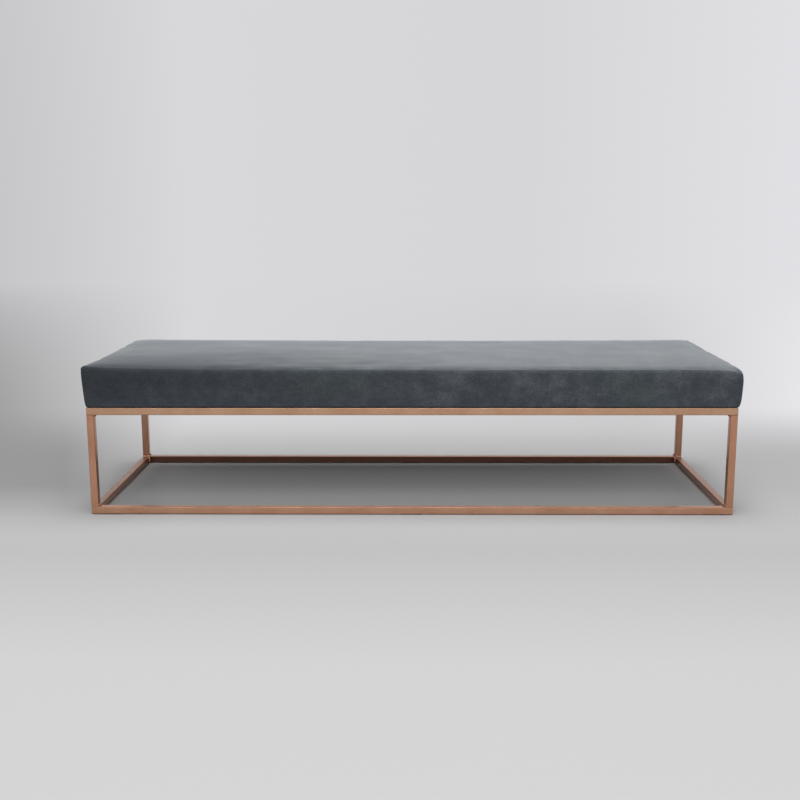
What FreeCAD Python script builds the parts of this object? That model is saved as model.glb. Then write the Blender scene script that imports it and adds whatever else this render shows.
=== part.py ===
import FreeCAD, Part
import math
import os

# A long, low ottoman bench: a velvet seat pad bolted onto a welded box frame of square steel tube.
# Lengths are in millimetres. +X runs along the bench, the front is at -Y and +Z is up.
# The origin is on the floor under the middle of the bench.

# Steel frame
frame_length = 1750.0
frame_depth = 600.0
frame_height = 296.0
tube_size = 20.0
tube_wall = 1.5
tube_corner_radius = 2.0
crossbar_count = 3

# Weld beads in the inner corners
bead_leg = 3.0
bead_crown = 0.4

# Felt pads under the long base rails
felt_thickness = 2.0
felt_length = 60.0
felt_edge_margin = 2.5
felt_end_distance = 50.0
felt_count_per_rail = 3

# Outside form of the seat pad
pad_edge_height = 102.0
pad_crown = 5.0
pad_overhang = 8.5
pad_foot_tuck = 1.0
pad_edge_radius = 11.0
pad_corner_radius = 13.0
pad_side_draw_in = 2.5

# How the pad's sides swell: height as a share of the side, and the swell there as a share of the
# way from the foot to the widest line
side_height_share = (0.0, 0.12, 0.4, 0.75, 1.0)
side_swell_share = (0.0, 0.37, 0.65, 0.93, 1.0)

# Rings of the crown, by their distance in from the edge as a share of the pad's half depth
crown_ring_share = (0.0, 0.15, 0.35, 0.6, 0.93)

# Steps of the quarter round along the top edge
edge_round_steps = 4

# Layers of the seat pad
cover_thickness = 1.2
wadding_thickness = 6.0
board_thickness = 12.0
flap_width = 50.0
dust_cover_thickness = 0.6
dust_cover_inset = 8.0

# Bolts that hold the pad to the crossbars
bolt_diameter = 6.0
bolt_tip_recess = 0.4
bolt_head_diameter = 11.0
bolt_head_height = 3.5
bolt_head_round = 1.2
bolt_socket_width = 4.0
bolt_socket_depth = 2.2
bolt_rail_distance = 110.0
bolt_hole_clearance = 0.4
washer_diameter = 18.0
washer_thickness = 1.6

# Tee nuts in the seat board
nut_flange_diameter = 19.0
nut_flange_thickness = 1.5
nut_barrel_diameter = 8.0
nut_barrel_length = 9.0
nut_thread_clearance = 0.05
nut_prong_length = 6.0
nut_prong_width = 2.5
nut_prong_thickness = 1.0
nut_prong_count = 4

# Staples
staple_width = 10.0
staple_leg_length = 8.0
staple_wire_width = 1.0
staple_wire_thickness = 0.6
cover_staple_edge_distance = 36.0
cover_staple_end_distance = 30.0
cover_staples_per_bay = 8
dust_staple_edge_distance = 26.0
dust_staple_end_distance = 45.0
dust_staples_per_bay = 5

# Cuts run past the faces that they open by this much
overrun = 5.0

# Levels and places that follow from the sizes above
half_length = frame_length / 2
half_depth = frame_depth / 2
base_underside = felt_thickness
base_top = base_underside + tube_size
frame_top = felt_thickness + frame_height
seat_ring_underside = frame_top - tube_size
inner_half_length = half_length - tube_size
inner_half_depth = half_depth - tube_size
pad_floor = frame_top + dust_cover_thickness
board_underside = pad_floor + cover_thickness
board_top = board_underside + board_thickness
felt_width = tube_size - 2 * felt_edge_margin
bolt_y = inner_half_depth - bolt_rail_distance
bolt_head_seat = seat_ring_underside - washer_thickness
bolt_length = board_top - bolt_tip_recess - bolt_head_seat
board_skin = cover_thickness + wadding_thickness
flat_run = tube_size - 2 * tube_corner_radius

AXIS_X = FreeCAD.Vector(1, 0, 0)
AXIS_Y = FreeCAD.Vector(0, 1, 0)
AXIS_Z = FreeCAD.Vector(0, 0, 1)
SIDES = (-1, 1)


def spread(low, high, count):
    """Return count places, evenly spaced from low to high."""
    step = (high - low) / (count - 1)
    return [low + step * index for index in range(count)]


def bay_edges():
    """Return the X places that divide the bench into equal bays: its ends and the crossbars."""
    return spread(-half_length, half_length, crossbar_count + 2)


def crossbar_places():
    """Return the X place of each crossbar."""
    return bay_edges()[1:-1]


def bolt_places():
    """Return the X and Y place of each bolt."""
    return [(x, side * bolt_y) for x in crossbar_places() for side in SIDES]


def side_edge(start, end, bow):
    """Return an edge from start to end that bows by the vector bow at its middle."""
    if bow.Length == 0:
        return Part.LineSegment(start, end).toShape()
    middle = (start + end) / 2 + bow
    return Part.Arc(start, middle, end).toShape()


def outline(half_x, half_y, radius, z, draw_in=0.0):
    """Return a level outline with round corners, its sides bowed in by draw_in."""
    flat_x = half_x - radius
    flat_y = half_y - radius
    corners = ((1, -1), (1, 1), (-1, 1), (-1, -1))
    diagonal = radius * math.sqrt(0.5)
    starts = []
    arcs = []
    for index, (sign_x, sign_y) in enumerate(corners):
        centre = FreeCAD.Vector(sign_x * flat_x, sign_y * flat_y, z)
        along_x = centre + AXIS_X * (sign_x * radius)
        along_y = centre + AXIS_Y * (sign_y * radius)
        middle = centre + AXIS_X * (sign_x * diagonal) + AXIS_Y * (sign_y * diagonal)
        first, last = (along_y, along_x) if index % 2 == 0 else (along_x, along_y)
        starts.append((first, last))
        arcs.append(Part.Arc(first, middle, last).toShape())
    bows = (AXIS_Y * draw_in, AXIS_X * -draw_in, AXIS_Y * -draw_in, AXIS_X * draw_in)
    edges = []
    for index, bow in enumerate(bows):
        before = starts[index - 1][1]
        edges.append(side_edge(before, starts[index][0], bow))
        edges.append(arcs[index])
    return Part.Wire(edges)


def upright_tube(length):
    """Return a square tube that stands on the origin, with round corners inside and out."""
    half = tube_size / 2
    bore_half = half - tube_wall
    bore_radius = max(tube_corner_radius - tube_wall, tube_wall / 4)
    outside = Part.Face(outline(half, half, tube_corner_radius, 0.0))
    bore = Part.Face(outline(bore_half, bore_half, bore_radius, 0.0))
    return outside.cut(bore).extrude(AXIS_Z * length)


def tube_between(start, direction, length):
    """Return a square tube whose centre line runs from start along direction."""
    tube = upright_tube(length)
    tube.Placement = FreeCAD.Placement(start, FreeCAD.Rotation(AXIS_Z, direction))
    return tube


def mitre_block(outer_half, inner_half, outer, inner, along, across, z):
    """Return the block that a mitred rail fills: a trapezium, tall enough to pass the tube."""
    corners = [
        along * -outer_half + across * outer,
        along * outer_half + across * outer,
        along * inner_half + across * inner,
        along * -inner_half + across * inner,
    ]
    lift = AXIS_Z * (z - overrun)
    points = [corner + lift for corner in corners]
    points.append(points[0])
    face = Part.Face(Part.makePolygon(points))
    return face.extrude(AXIS_Z * (tube_size + 2 * overrun))


def long_rail(side, z):
    """Return a front or rear rail with mitred ends, its underside at height z."""
    centre_y = side * (half_depth - tube_size / 2)
    start = FreeCAD.Vector(-half_length, centre_y, z + tube_size / 2)
    tube = tube_between(start, AXIS_X, frame_length)
    block = mitre_block(half_length, inner_half_length, half_depth, inner_half_depth,
                        AXIS_X, AXIS_Y * side, z)
    return tube.common(block)


def short_rail(side, z):
    """Return a left or right rail with mitred ends, its underside at height z."""
    centre_x = side * (half_length - tube_size / 2)
    start = FreeCAD.Vector(centre_x, -half_depth, z + tube_size / 2)
    tube = tube_between(start, AXIS_Y, frame_depth)
    block = mitre_block(half_depth, inner_half_depth, half_length, inner_half_length,
                        AXIS_Y, AXIS_X * side, z)
    return tube.common(block)


def ring_rails(name, z):
    """Return the four mitred rails of one ring, by node name."""
    return {
        f"{name}_rail_front": long_rail(-1, z),
        f"{name}_rail_rear": long_rail(1, z),
        f"{name}_rail_left": short_rail(-1, z),
        f"{name}_rail_right": short_rail(1, z),
    }


def legs():
    """Return the four legs, which stand between the two rings at their corners."""
    pieces = {}
    for side_y, row in ((-1, "front"), (1, "rear")):
        for side_x, hand in ((-1, "left"), (1, "right")):
            x = side_x * (half_length - tube_size / 2)
            y = side_y * (half_depth - tube_size / 2)
            foot = FreeCAD.Vector(x, y, base_top)
            pieces[f"leg_{row}_{hand}"] = tube_between(foot, AXIS_Z, seat_ring_underside - base_top)
    return pieces


def crossbar(x):
    """Return a crossbar between the long seat rails, drilled for its two bolts."""
    start = FreeCAD.Vector(x, -inner_half_depth, frame_top - tube_size / 2)
    bar = tube_between(start, AXIS_Y, 2 * inner_half_depth)
    hole_radius = bolt_diameter / 2 + bolt_hole_clearance
    for side in SIDES:
        foot = FreeCAD.Vector(x, side * bolt_y, seat_ring_underside - overrun)
        bar = bar.cut(Part.makeCylinder(hole_radius, tube_size + 2 * overrun, foot))
    return bar


def bead(corner, first, second, run):
    """Return a weld bead in a square corner: two flat legs and a slightly domed face."""
    first_toe = corner + first * bead_leg
    second_toe = corner + second * bead_leg
    outward = (first + second).normalize()
    crown = (first_toe + second_toe) / 2 + outward * bead_crown
    edges = [
        Part.LineSegment(second_toe, corner).toShape(),
        Part.LineSegment(corner, first_toe).toShape(),
        Part.Arc(first_toe, crown, second_toe).toShape(),
    ]
    return Part.Face(Part.Wire(edges)).extrude(run)


def ring_beads(leg_end, leg_direction, ring_underside):
    """Return the beads of one ring: two at each leg's end and one in each inner mitre corner."""
    beads = []
    leg_way = AXIS_Z * leg_direction
    for side_x in SIDES:
        for side_y in SIDES:
            inward_x = AXIS_X * -side_x
            inward_y = AXIS_Y * -side_y
            inner = FreeCAD.Vector(side_x * inner_half_length, side_y * inner_half_depth, leg_end)
            outward_start_x = inner - inward_x * tube_corner_radius
            outward_start_y = inner - inward_y * tube_corner_radius
            beads.append(bead(outward_start_y, inward_x, leg_way, inward_y * -flat_run))
            beads.append(bead(outward_start_x, inward_y, leg_way, inward_x * -flat_run))
            mitre_foot = FreeCAD.Vector(inner.x, inner.y, ring_underside + tube_corner_radius)
            beads.append(bead(mitre_foot, inward_x, inward_y, AXIS_Z * flat_run))
    return Part.makeCompound(beads)


def crossbar_beads():
    """Return the upright beads at the crossbars' ends, one on each side."""
    beads = []
    for x in crossbar_places():
        for side_y in SIDES:
            inward = AXIS_Y * -side_y
            end = FreeCAD.Vector(x, side_y * inner_half_depth, seat_ring_underside + tube_corner_radius)
            for side_x in SIDES:
                corner = end + AXIS_X * (side_x * tube_size / 2)
                beads.append(bead(corner, AXIS_X * side_x, inward, AXIS_Z * flat_run))
    return Part.makeCompound(beads)


def felt_pads():
    """Return the felt pads under the front and rear base rails."""
    pads = []
    reach = half_length - felt_end_distance
    for x in spread(-reach, reach, felt_count_per_rail):
        for side in SIDES:
            pad = Part.Face(outline(felt_length / 2, felt_width / 2, felt_width / 3, 0.0))
            pad = pad.extrude(AXIS_Z * felt_thickness)
            pad.translate(FreeCAD.Vector(x, side * (half_depth - tube_size / 2), 0))
            pads.append(pad)
    return Part.makeCompound(pads)


def pad_rings(skin):
    """Return the pad's level outlines from foot to crown, drawn in by skin, in three groups."""
    foot_x = half_length - pad_foot_tuck - skin
    foot_y = half_depth - pad_foot_tuck - skin
    swell = pad_foot_tuck + pad_overhang
    edge_radius = max(pad_edge_radius - skin, cover_thickness)
    corner_radius = max(pad_corner_radius - skin, edge_radius + cover_thickness)
    shoulder = frame_top + pad_edge_height - skin - edge_radius

    sides = []
    for height_share, swell_share in zip(side_height_share, side_swell_share):
        z = pad_floor + (shoulder - pad_floor) * height_share
        grow = swell * swell_share
        draw_in = pad_side_draw_in * swell_share
        sides.append(outline(foot_x + grow, foot_y + grow, corner_radius, z, draw_in))

    wide_x = foot_x + swell
    wide_y = foot_y + swell
    rounds = []
    for step in range(edge_round_steps + 1):
        angle = math.pi / 2 * step / edge_round_steps
        inset = edge_radius * (1 - math.cos(angle))
        z = shoulder + edge_radius * math.sin(angle)
        rounds.append(outline(wide_x - inset, wide_y - inset, corner_radius - inset, z, pad_side_draw_in))

    crown = []
    rim_x = wide_x - edge_radius
    rim_y = wide_y - edge_radius
    for ring_share in crown_ring_share:
        inset = rim_y * ring_share
        z = shoulder + edge_radius + pad_crown * (1 - (1 - ring_share) ** 2)
        draw_in = pad_side_draw_in * (1 - ring_share)
        crown.append(outline(rim_x - inset, rim_y - inset, corner_radius - edge_radius, z, draw_in))
    return sides, rounds, crown


def pad_body(skin, floor):
    """Return the pad's closed form, drawn in by skin on every face and cut flat at floor."""
    sides, rounds, crown = pad_rings(skin)
    body = Part.makeLoft(sides, True, False)
    body = body.fuse(Part.makeLoft(rounds, True, False))
    body = body.fuse(Part.makeLoft(crown, True, False))
    reach = pad_overhang + overrun
    corner = FreeCAD.Vector(-half_length - reach, -half_depth - reach, floor)
    height = frame_top + pad_edge_height + pad_crown + overrun - floor
    slab = Part.makeBox(frame_length + 2 * reach, frame_depth + 2 * reach, height, corner)
    return body.common(slab).removeSplitter()


def tee_nut(x, y):
    """Return a tee nut: a flange on the board, a threaded barrel in it, and prongs."""
    flange_foot = FreeCAD.Vector(x, y, board_top - nut_flange_thickness)
    barrel_foot = FreeCAD.Vector(x, y, board_top - nut_flange_thickness - nut_barrel_length)
    nut = Part.makeCylinder(nut_flange_diameter / 2, nut_flange_thickness, flange_foot)
    nut = nut.fuse(Part.makeCylinder(nut_barrel_diameter / 2, nut_barrel_length, barrel_foot))
    prong_reach = nut_flange_diameter / 2 - nut_prong_thickness
    for index in range(nut_prong_count):
        corner = FreeCAD.Vector(prong_reach - nut_prong_thickness, -nut_prong_width / 2, 0)
        prong = Part.makeBox(nut_prong_thickness, nut_prong_width, nut_prong_length, corner)
        prong.rotate(FreeCAD.Vector(0, 0, 0), AXIS_Z, 360 * (index + 0.5) / nut_prong_count)
        prong.translate(flange_foot - AXIS_Z * nut_prong_length)
        nut = nut.fuse(prong)
    thread_radius = bolt_diameter / 2 + nut_thread_clearance
    thread_foot = barrel_foot - AXIS_Z * overrun
    thread_length = nut_barrel_length + nut_flange_thickness + 2 * overrun
    return nut.cut(Part.makeCylinder(thread_radius, thread_length, thread_foot)).removeSplitter()


def seat_bolt(x, y):
    """Return a round-headed socket bolt that points up from under a crossbar."""
    seat = FreeCAD.Vector(x, y, bolt_head_seat)
    head_foot = seat - AXIS_Z * bolt_head_height
    head = Part.makeCylinder(bolt_head_diameter / 2, bolt_head_height, head_foot)
    rim = [edge for edge in head.Edges if edge.BoundBox.ZMax < seat.z - bolt_head_height / 2]
    head = head.makeFillet(bolt_head_round, rim)
    socket = hexagon_prism(bolt_socket_width, bolt_socket_depth + overrun)
    socket.translate(head_foot - AXIS_Z * overrun)
    shank = Part.makeCylinder(bolt_diameter / 2, bolt_length, seat)
    return head.cut(socket).fuse(shank).removeSplitter()


def hexagon_prism(width, height):
    """Return a hexagonal prism on the origin, width across its flats."""
    radius = width / math.sqrt(3)
    points = []
    for index in range(7):
        angle = math.radians(60 * index)
        points.append(FreeCAD.Vector(radius * math.cos(angle), radius * math.sin(angle), 0))
    return Part.Face(Part.makePolygon(points)).extrude(AXIS_Z * height)


def seat_washer(x, y):
    """Return a wide washer between a bolt's head and its crossbar."""
    foot = FreeCAD.Vector(x, y, bolt_head_seat)
    washer = Part.makeCylinder(washer_diameter / 2, washer_thickness, foot)
    hole_foot = foot - AXIS_Z * overrun
    hole_radius = bolt_diameter / 2 + bolt_hole_clearance
    return washer.cut(Part.makeCylinder(hole_radius, washer_thickness + 2 * overrun, hole_foot))


def staple(x, y, underside, turned):
    """Return a staple whose crown lies level at underside and whose two legs point up."""
    half = staple_width / 2
    crown_corner = FreeCAD.Vector(-half, -staple_wire_width / 2, 0)
    wire = Part.makeBox(staple_width, staple_wire_width, staple_wire_thickness, crown_corner)
    for left in (-half, half - staple_wire_thickness):
        corner = FreeCAD.Vector(left, -staple_wire_width / 2, 0)
        leg = Part.makeBox(staple_wire_thickness, staple_wire_width, staple_leg_length, corner)
        wire = wire.fuse(leg)
    if turned:
        wire.rotate(FreeCAD.Vector(0, 0, 0), AXIS_Z, 90)
    wire.translate(FreeCAD.Vector(x, y, underside))
    return wire.removeSplitter()


def staple_rows(edge_distance, end_distance, per_bay, underside):
    """Return one row of staples along each edge of the pad, clear of the crossbars."""
    staples = []
    edges = bay_edges()
    for low, high in zip(edges, edges[1:]):
        for x in spread(low + end_distance, high - end_distance, per_bay):
            for side in SIDES:
                staples.append(staple(x, side * (half_depth - edge_distance), underside, False))
    reach = half_depth - edge_distance - end_distance
    for y in spread(-reach, reach, per_bay):
        for side in SIDES:
            staples.append(staple(side * (half_length - edge_distance), y, underside, True))
    return Part.makeCompound(staples)


def bolt_holes(low, high):
    """Return a cylinder for each bolt's clearance hole, from low to high."""
    radius = bolt_diameter / 2 + bolt_hole_clearance
    return [Part.makeCylinder(radius, high - low, FreeCAD.Vector(x, y, low)) for x, y in bolt_places()]


def board_blank():
    """Return the plywood board before it is drilled."""
    half_x = half_length - pad_foot_tuck - board_skin
    half_y = half_depth - pad_foot_tuck - board_skin
    corner_radius = max(pad_corner_radius - board_skin, cover_thickness)
    face = Part.Face(outline(half_x, half_y, corner_radius, board_underside))
    return face.extrude(AXIS_Z * board_thickness)


def seat_board(tee_nuts, staples):
    """Return the plywood board, cut for its tee nuts and the legs of the staples."""
    board = board_blank()
    barrel_radius = nut_barrel_diameter / 2
    for x, y in bolt_places():
        foot = FreeCAD.Vector(x, y, board_underside - overrun)
        board = board.cut(Part.makeCylinder(barrel_radius, board_thickness + 2 * overrun, foot))
    return board.cut([tee_nuts] + staples)


def velvet_cover(staples):
    """Return the cover: a skin over the pad with a flap turned in under the board."""
    outside = pad_body(0.0, pad_floor)
    inside = pad_body(cover_thickness, board_underside)
    window_x = half_length - flap_width
    window_y = half_depth - flap_width
    corner = FreeCAD.Vector(-window_x, -window_y, pad_floor - overrun)
    window = Part.makeBox(2 * window_x, 2 * window_y, overrun + 2 * cover_thickness, corner)
    return outside.cut([inside, window] + staples)


def dust_cover(staples):
    """Return the thin sheet that closes the pad's underside, with holes for the bolts."""
    half_x = half_length - dust_cover_inset
    half_y = half_depth - dust_cover_inset
    sheet = Part.Face(outline(half_x, half_y, dust_cover_inset, frame_top))
    sheet = sheet.extrude(AXIS_Z * dust_cover_thickness)
    holes = bolt_holes(frame_top - overrun, frame_top + overrun)
    return sheet.cut(holes + staples)


def seat_pad():
    """Return the pieces of the seat pad and its fasteners, by node name."""
    tee_nuts = Part.makeCompound([tee_nut(x, y) for x, y in bolt_places()])
    cover_staples = staple_rows(cover_staple_edge_distance, cover_staple_end_distance,
                                cover_staples_per_bay, pad_floor)
    dust_staples = staple_rows(dust_staple_edge_distance, dust_staple_end_distance,
                               dust_staples_per_bay, frame_top - staple_wire_thickness)
    board = seat_board(tee_nuts, [cover_staples, dust_staples])
    foam = pad_body(board_skin, board_top)
    wadding = pad_body(cover_thickness, board_underside).cut([foam, board_blank()])
    return {
        "seat_board": board,
        "foam_block": foam,
        "wadding_wrap": wadding,
        "velvet_cover": velvet_cover([cover_staples, dust_staples]),
        "cover_staples": cover_staples,
        "dust_cover": dust_cover([dust_staples]),
        "dust_cover_staples": dust_staples,
        "tee_nuts": tee_nuts,
        "seat_bolts": Part.makeCompound([seat_bolt(x, y) for x, y in bolt_places()]),
        "seat_washers": Part.makeCompound([seat_washer(x, y) for x, y in bolt_places()]),
    }


def steel_frame():
    """Return the pieces of the welded frame, by node name."""
    pieces = ring_rails("base", base_underside)
    pieces.update(legs())
    pieces.update(ring_rails("seat", seat_ring_underside))
    for index, x in enumerate(crossbar_places()):
        pieces[f"crossbar_{index + 1}"] = crossbar(x)
    pieces["base_ring_beads"] = ring_beads(base_top, 1, base_underside)
    pieces["seat_ring_beads"] = ring_beads(seat_ring_underside, -1, seat_ring_underside)
    pieces["crossbar_beads"] = crossbar_beads()
    pieces["felt_pads"] = felt_pads()
    return pieces


def write_parts():
    """Write one STEP file for each node."""
    os.makedirs("parts", exist_ok=True)
    pieces = steel_frame()
    pieces.update(seat_pad())
    for name, shape in pieces.items():
        shape.exportStep(os.path.join("parts", name + ".step"))
        print(name, len(shape.Solids), round(shape.Volume), shape.isValid())


write_parts()
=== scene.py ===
"""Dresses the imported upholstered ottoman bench: its velvet pad, copper frame, fixings and studio.

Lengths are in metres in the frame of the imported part. +X runs along the bench, the front is at -Y,
+Z is up, and the origin is on the floor under the middle of the bench.
"""

import logging
import math
from collections.abc import Callable, Iterable, Sequence
from dataclasses import dataclass, field, replace
from enum import Enum
from functools import partial

import bpy
import numpy as np
from bpy.types import Material, Mesh, NodeSocket, NodeTree, Object
from mathutils import Matrix, Vector, noise


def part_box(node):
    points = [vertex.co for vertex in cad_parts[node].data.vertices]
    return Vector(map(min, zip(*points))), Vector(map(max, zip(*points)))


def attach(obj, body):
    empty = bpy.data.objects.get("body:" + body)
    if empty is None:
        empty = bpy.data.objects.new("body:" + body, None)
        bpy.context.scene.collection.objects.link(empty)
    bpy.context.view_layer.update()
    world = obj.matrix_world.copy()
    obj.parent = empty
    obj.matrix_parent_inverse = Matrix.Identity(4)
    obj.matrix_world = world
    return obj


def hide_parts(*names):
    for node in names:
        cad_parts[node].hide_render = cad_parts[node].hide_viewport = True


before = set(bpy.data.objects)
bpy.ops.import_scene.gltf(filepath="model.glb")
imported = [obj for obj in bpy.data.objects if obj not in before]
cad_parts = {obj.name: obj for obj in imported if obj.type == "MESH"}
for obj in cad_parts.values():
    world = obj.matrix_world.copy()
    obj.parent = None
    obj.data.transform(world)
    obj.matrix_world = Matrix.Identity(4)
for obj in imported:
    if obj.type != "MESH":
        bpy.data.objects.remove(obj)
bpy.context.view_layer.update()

LOG = logging.getLogger("bench")
MM = 0.001
# Points nearer to each other or to a plane than this count as the same.
TOUCH = 0.01 * MM


# Shared helpers


def deselect_all() -> None:
    """Leaves object mode as it is and takes every object out of the selection."""
    for item in bpy.context.selected_objects:
        item.select_set(False)


def choose(item: Object) -> None:
    """Makes one object the only selected one, and the active one.

    Args:
        item: the object that the next operators work on.
    """
    deselect_all()
    item.select_set(True)
    bpy.context.view_layer.objects.active = item


def smooth_step(values: np.ndarray) -> np.ndarray:
    """Eases values from 0 to 1.

    Args:
        values: any numbers; those outside 0 to 1 are brought to the nearer end.

    Returns:
        The eased values.
    """
    held = np.clip(values, 0.0, 1.0)
    return held * held * (3.0 - 2.0 * held)


def read_rows(items: bpy.types.bpy_prop_collection, attribute: str) -> np.ndarray:
    """Reads a vector from each of a mesh's vertices or vertex normals.

    Args:
        items: the vertices or the normals.
        attribute: the vector's name there.

    Returns:
        One row of x, y and z for each vertex.
    """
    flat = np.zeros(len(items) * 3, np.float32)
    items.foreach_get(attribute, flat)
    return flat.reshape(-1, 3).astype(float)


def write_points(mesh: Mesh, points: np.ndarray) -> None:
    """Moves a mesh's vertices to new points.

    Args:
        mesh: the mesh.
        points: one row of x, y and z for each vertex.
    """
    mesh.vertices.foreach_set("co", points.astype(np.float32).ravel())
    mesh.update()


def noise_at(points: np.ndarray, size: float, shift: float) -> np.ndarray:
    """Samples smooth noise, the same on every run.

    Args:
        points: where it is sampled.
        size: how far apart its hills are, about.
        shift: moves the pattern, so that two uses differ.

    Returns:
        One value from about -1 to 1 for each point.
    """
    offset = Vector((shift, shift * 0.7, shift * 1.3))
    return np.array([noise.noise(Vector(point) / size + offset) for point in points])


def mesh_piece(name: str, points: np.ndarray, faces: list[tuple[int, ...]]) -> Object:
    """Makes a smooth-shaded mesh object at the origin.

    Args:
        name: the piece's name.
        points: one row of x, y and z for each vertex.
        faces: vertex numbers of each face, anticlockwise seen from outside.

    Returns:
        The new object.
    """
    mesh = bpy.data.meshes.new(name)
    mesh.from_pydata(points.tolist(), [], faces)
    mesh.update()
    mesh.polygons.foreach_set("use_smooth", np.ones(len(mesh.polygons), bool))
    piece = bpy.data.objects.new(name, mesh)
    bpy.context.scene.collection.objects.link(piece)
    return piece


def grid_faces(count_x: int, count_y: int, down: bool = False) -> list[tuple[int, ...]]:
    """Lists the faces of a grid of points.

    Args:
        count_x: points along X.
        count_y: points along Y.
        down: whether the faces look down.

    Returns:
        The faces.
    """
    faces = []
    for row in range(count_y - 1):
        for column in range(count_x - 1):
            first = row * count_x + column
            face = (first, first + 1, first + 1 + count_x, first + count_x)
            faces.append(face[::-1] if down else face)
    return faces


def join_copies(name: str, pattern: Object, turns: Iterable[Matrix]) -> Object:
    """Copies a pattern to each of its places and joins the copies into one piece.

    Args:
        name: the piece's name.
        pattern: the object that is copied, which goes away.
        turns: for each copy, the matrix that puts it in its place.

    Returns:
        The piece.
    """
    copies = []
    for turn in turns:
        copy = bpy.data.objects.new(name, pattern.data.copy())
        copy.data.transform(turn)
        bpy.context.scene.collection.objects.link(copy)
        copies.append(copy)
    bpy.data.objects.remove(pattern)
    choose(copies[0])
    for copy in copies[1:]:
        copy.select_set(True)
    bpy.ops.object.join()
    return bpy.context.object


def apply_modifier(piece: Object, kind: str, **settings: object) -> None:
    """Adds a modifier to a piece and applies it.

    Args:
        piece: the piece.
        kind: the modifier's type name.
        settings: its properties by name.
    """
    choose(piece)
    modifier = piece.modifiers.new(kind.title(), kind)
    for name, value in settings.items():
        setattr(modifier, name, value)
    bpy.ops.object.modifier_apply(modifier=modifier.name)


def dress(piece: Object, material: Material) -> None:
    """Gives a piece its material, in place of any that it has.

    Args:
        piece: the piece, a new one or a CAD node.
        material: its material.
    """
    if not piece.material_slots:
        piece.data.materials.append(material)
    for slot in piece.material_slots:
        slot.material = material
    LOG.info("%s gets %s", piece.name, material.name)


def settle(piece: Object, slot_name: str, *nodes: str) -> None:
    """Ties a new piece to the part: its body, and hides the CAD nodes it stands for.

    Args:
        piece: the piece.
        slot_name: not used.
        nodes: CAD nodes that it replaces.
    """
    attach(piece, "root")
    if nodes:
        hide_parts(*nodes)
    LOG.info("piece %s: %d faces, for %s", piece.name, len(piece.data.polygons), nodes or "none")


# Materials


# What makes a Mix node mix colours: its data type, and the output that gives the colour.
COLOURS = {"data_type": "RGBA", "out": 2}

# The values between which a noise pattern mostly lies, and nearly always.
MOSTLY = (0.35, 0.65)
NEARLY_ALWAYS = (0.3, 0.7)


def linear(code: str) -> tuple[float, float, float, float]:
    """Turns an sRGB hex colour into the linear colour that Blender's nodes take.

    Args:
        code: six hex digits.

    Returns:
        Red, green, blue and alpha.
    """
    parts = []
    for start in (0, 2, 4):
        level = int(code[start : start + 2], 16) / 255
        parts.append(level / 12.92 if level <= 0.04045 else ((level + 0.055) / 1.055) ** 2.4)
    return (*parts, 1.0)


def per(*sizes: float) -> tuple[float, ...]:
    """Returns how many times each size goes into a metre, the scale of a pattern of those sizes."""
    return tuple(1.0 / size for size in sizes)


def add_node(
    tree: NodeTree,
    kind: str,
    inputs: Sequence | dict = (),
    out: int | str = 0,
    **settings: object,
) -> NodeSocket | None:
    """Adds one node with its settings and links.

    Args:
        tree: the node tree.
        kind: the node's type, without the ShaderNode that all of them begin with.
        inputs: what feeds each input, an output or a constant, in order or by name or number.
        out: the name or number of the output that is wanted.
        settings: the node's properties by name.

    Returns:
        That output, or None for a node without outputs.
    """
    node = tree.nodes.new("ShaderNode" + kind)
    for name, value in settings.items():
        setattr(node, name, value)
    for place, value in inputs.items() if isinstance(inputs, dict) else enumerate(inputs):
        if isinstance(value, NodeSocket):
            tree.links.new(value, node.inputs[place])
        else:
            node.inputs[place].default_value = value
    return node.outputs[out] if len(node.outputs) else None


class Surface:
    """A material in the making: its node tree, shader and object coordinates.

    Attributes:
        material: the material.
        tree: its node tree.
        shader: its Principled shader.
        add: adds a node to that tree; see add_node.
        place: the output that gives object coordinates.
    """

    def __init__(self, name: str, **constants: object) -> None:
        """Starts a material.

        Args:
            name: the material's name.
            constants: values set on the shader's own sockets, with underscores for spaces.
        """
        self.material = bpy.data.materials.new(name)
        self.material.use_nodes = True
        self.tree = self.material.node_tree
        self.shader = self.tree.nodes["Principled BSDF"]
        for label, value in constants.items():
            self.shader.inputs[label.replace("_", " ")].default_value = value
        self.add = partial(add_node, self.tree)
        self.place = self.add("TexCoord", out="Object")

    def feed(self, **sources: NodeSocket) -> Material:
        """Links outputs to the shader's inputs.

        Args:
            sources: the outputs by input name, with underscores for spaces.

        Returns:
            The material.
        """
        for label, source in sources.items():
            self.tree.links.new(source, self.shader.inputs[label.replace("_", " ")])
        return self.material


class TubeRun(Enum):
    """The axis that a tube runs along, which its brushed lines follow."""

    LENGTHWISE = 0
    CROSSWISE = 1
    UPRIGHT = 2


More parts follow.
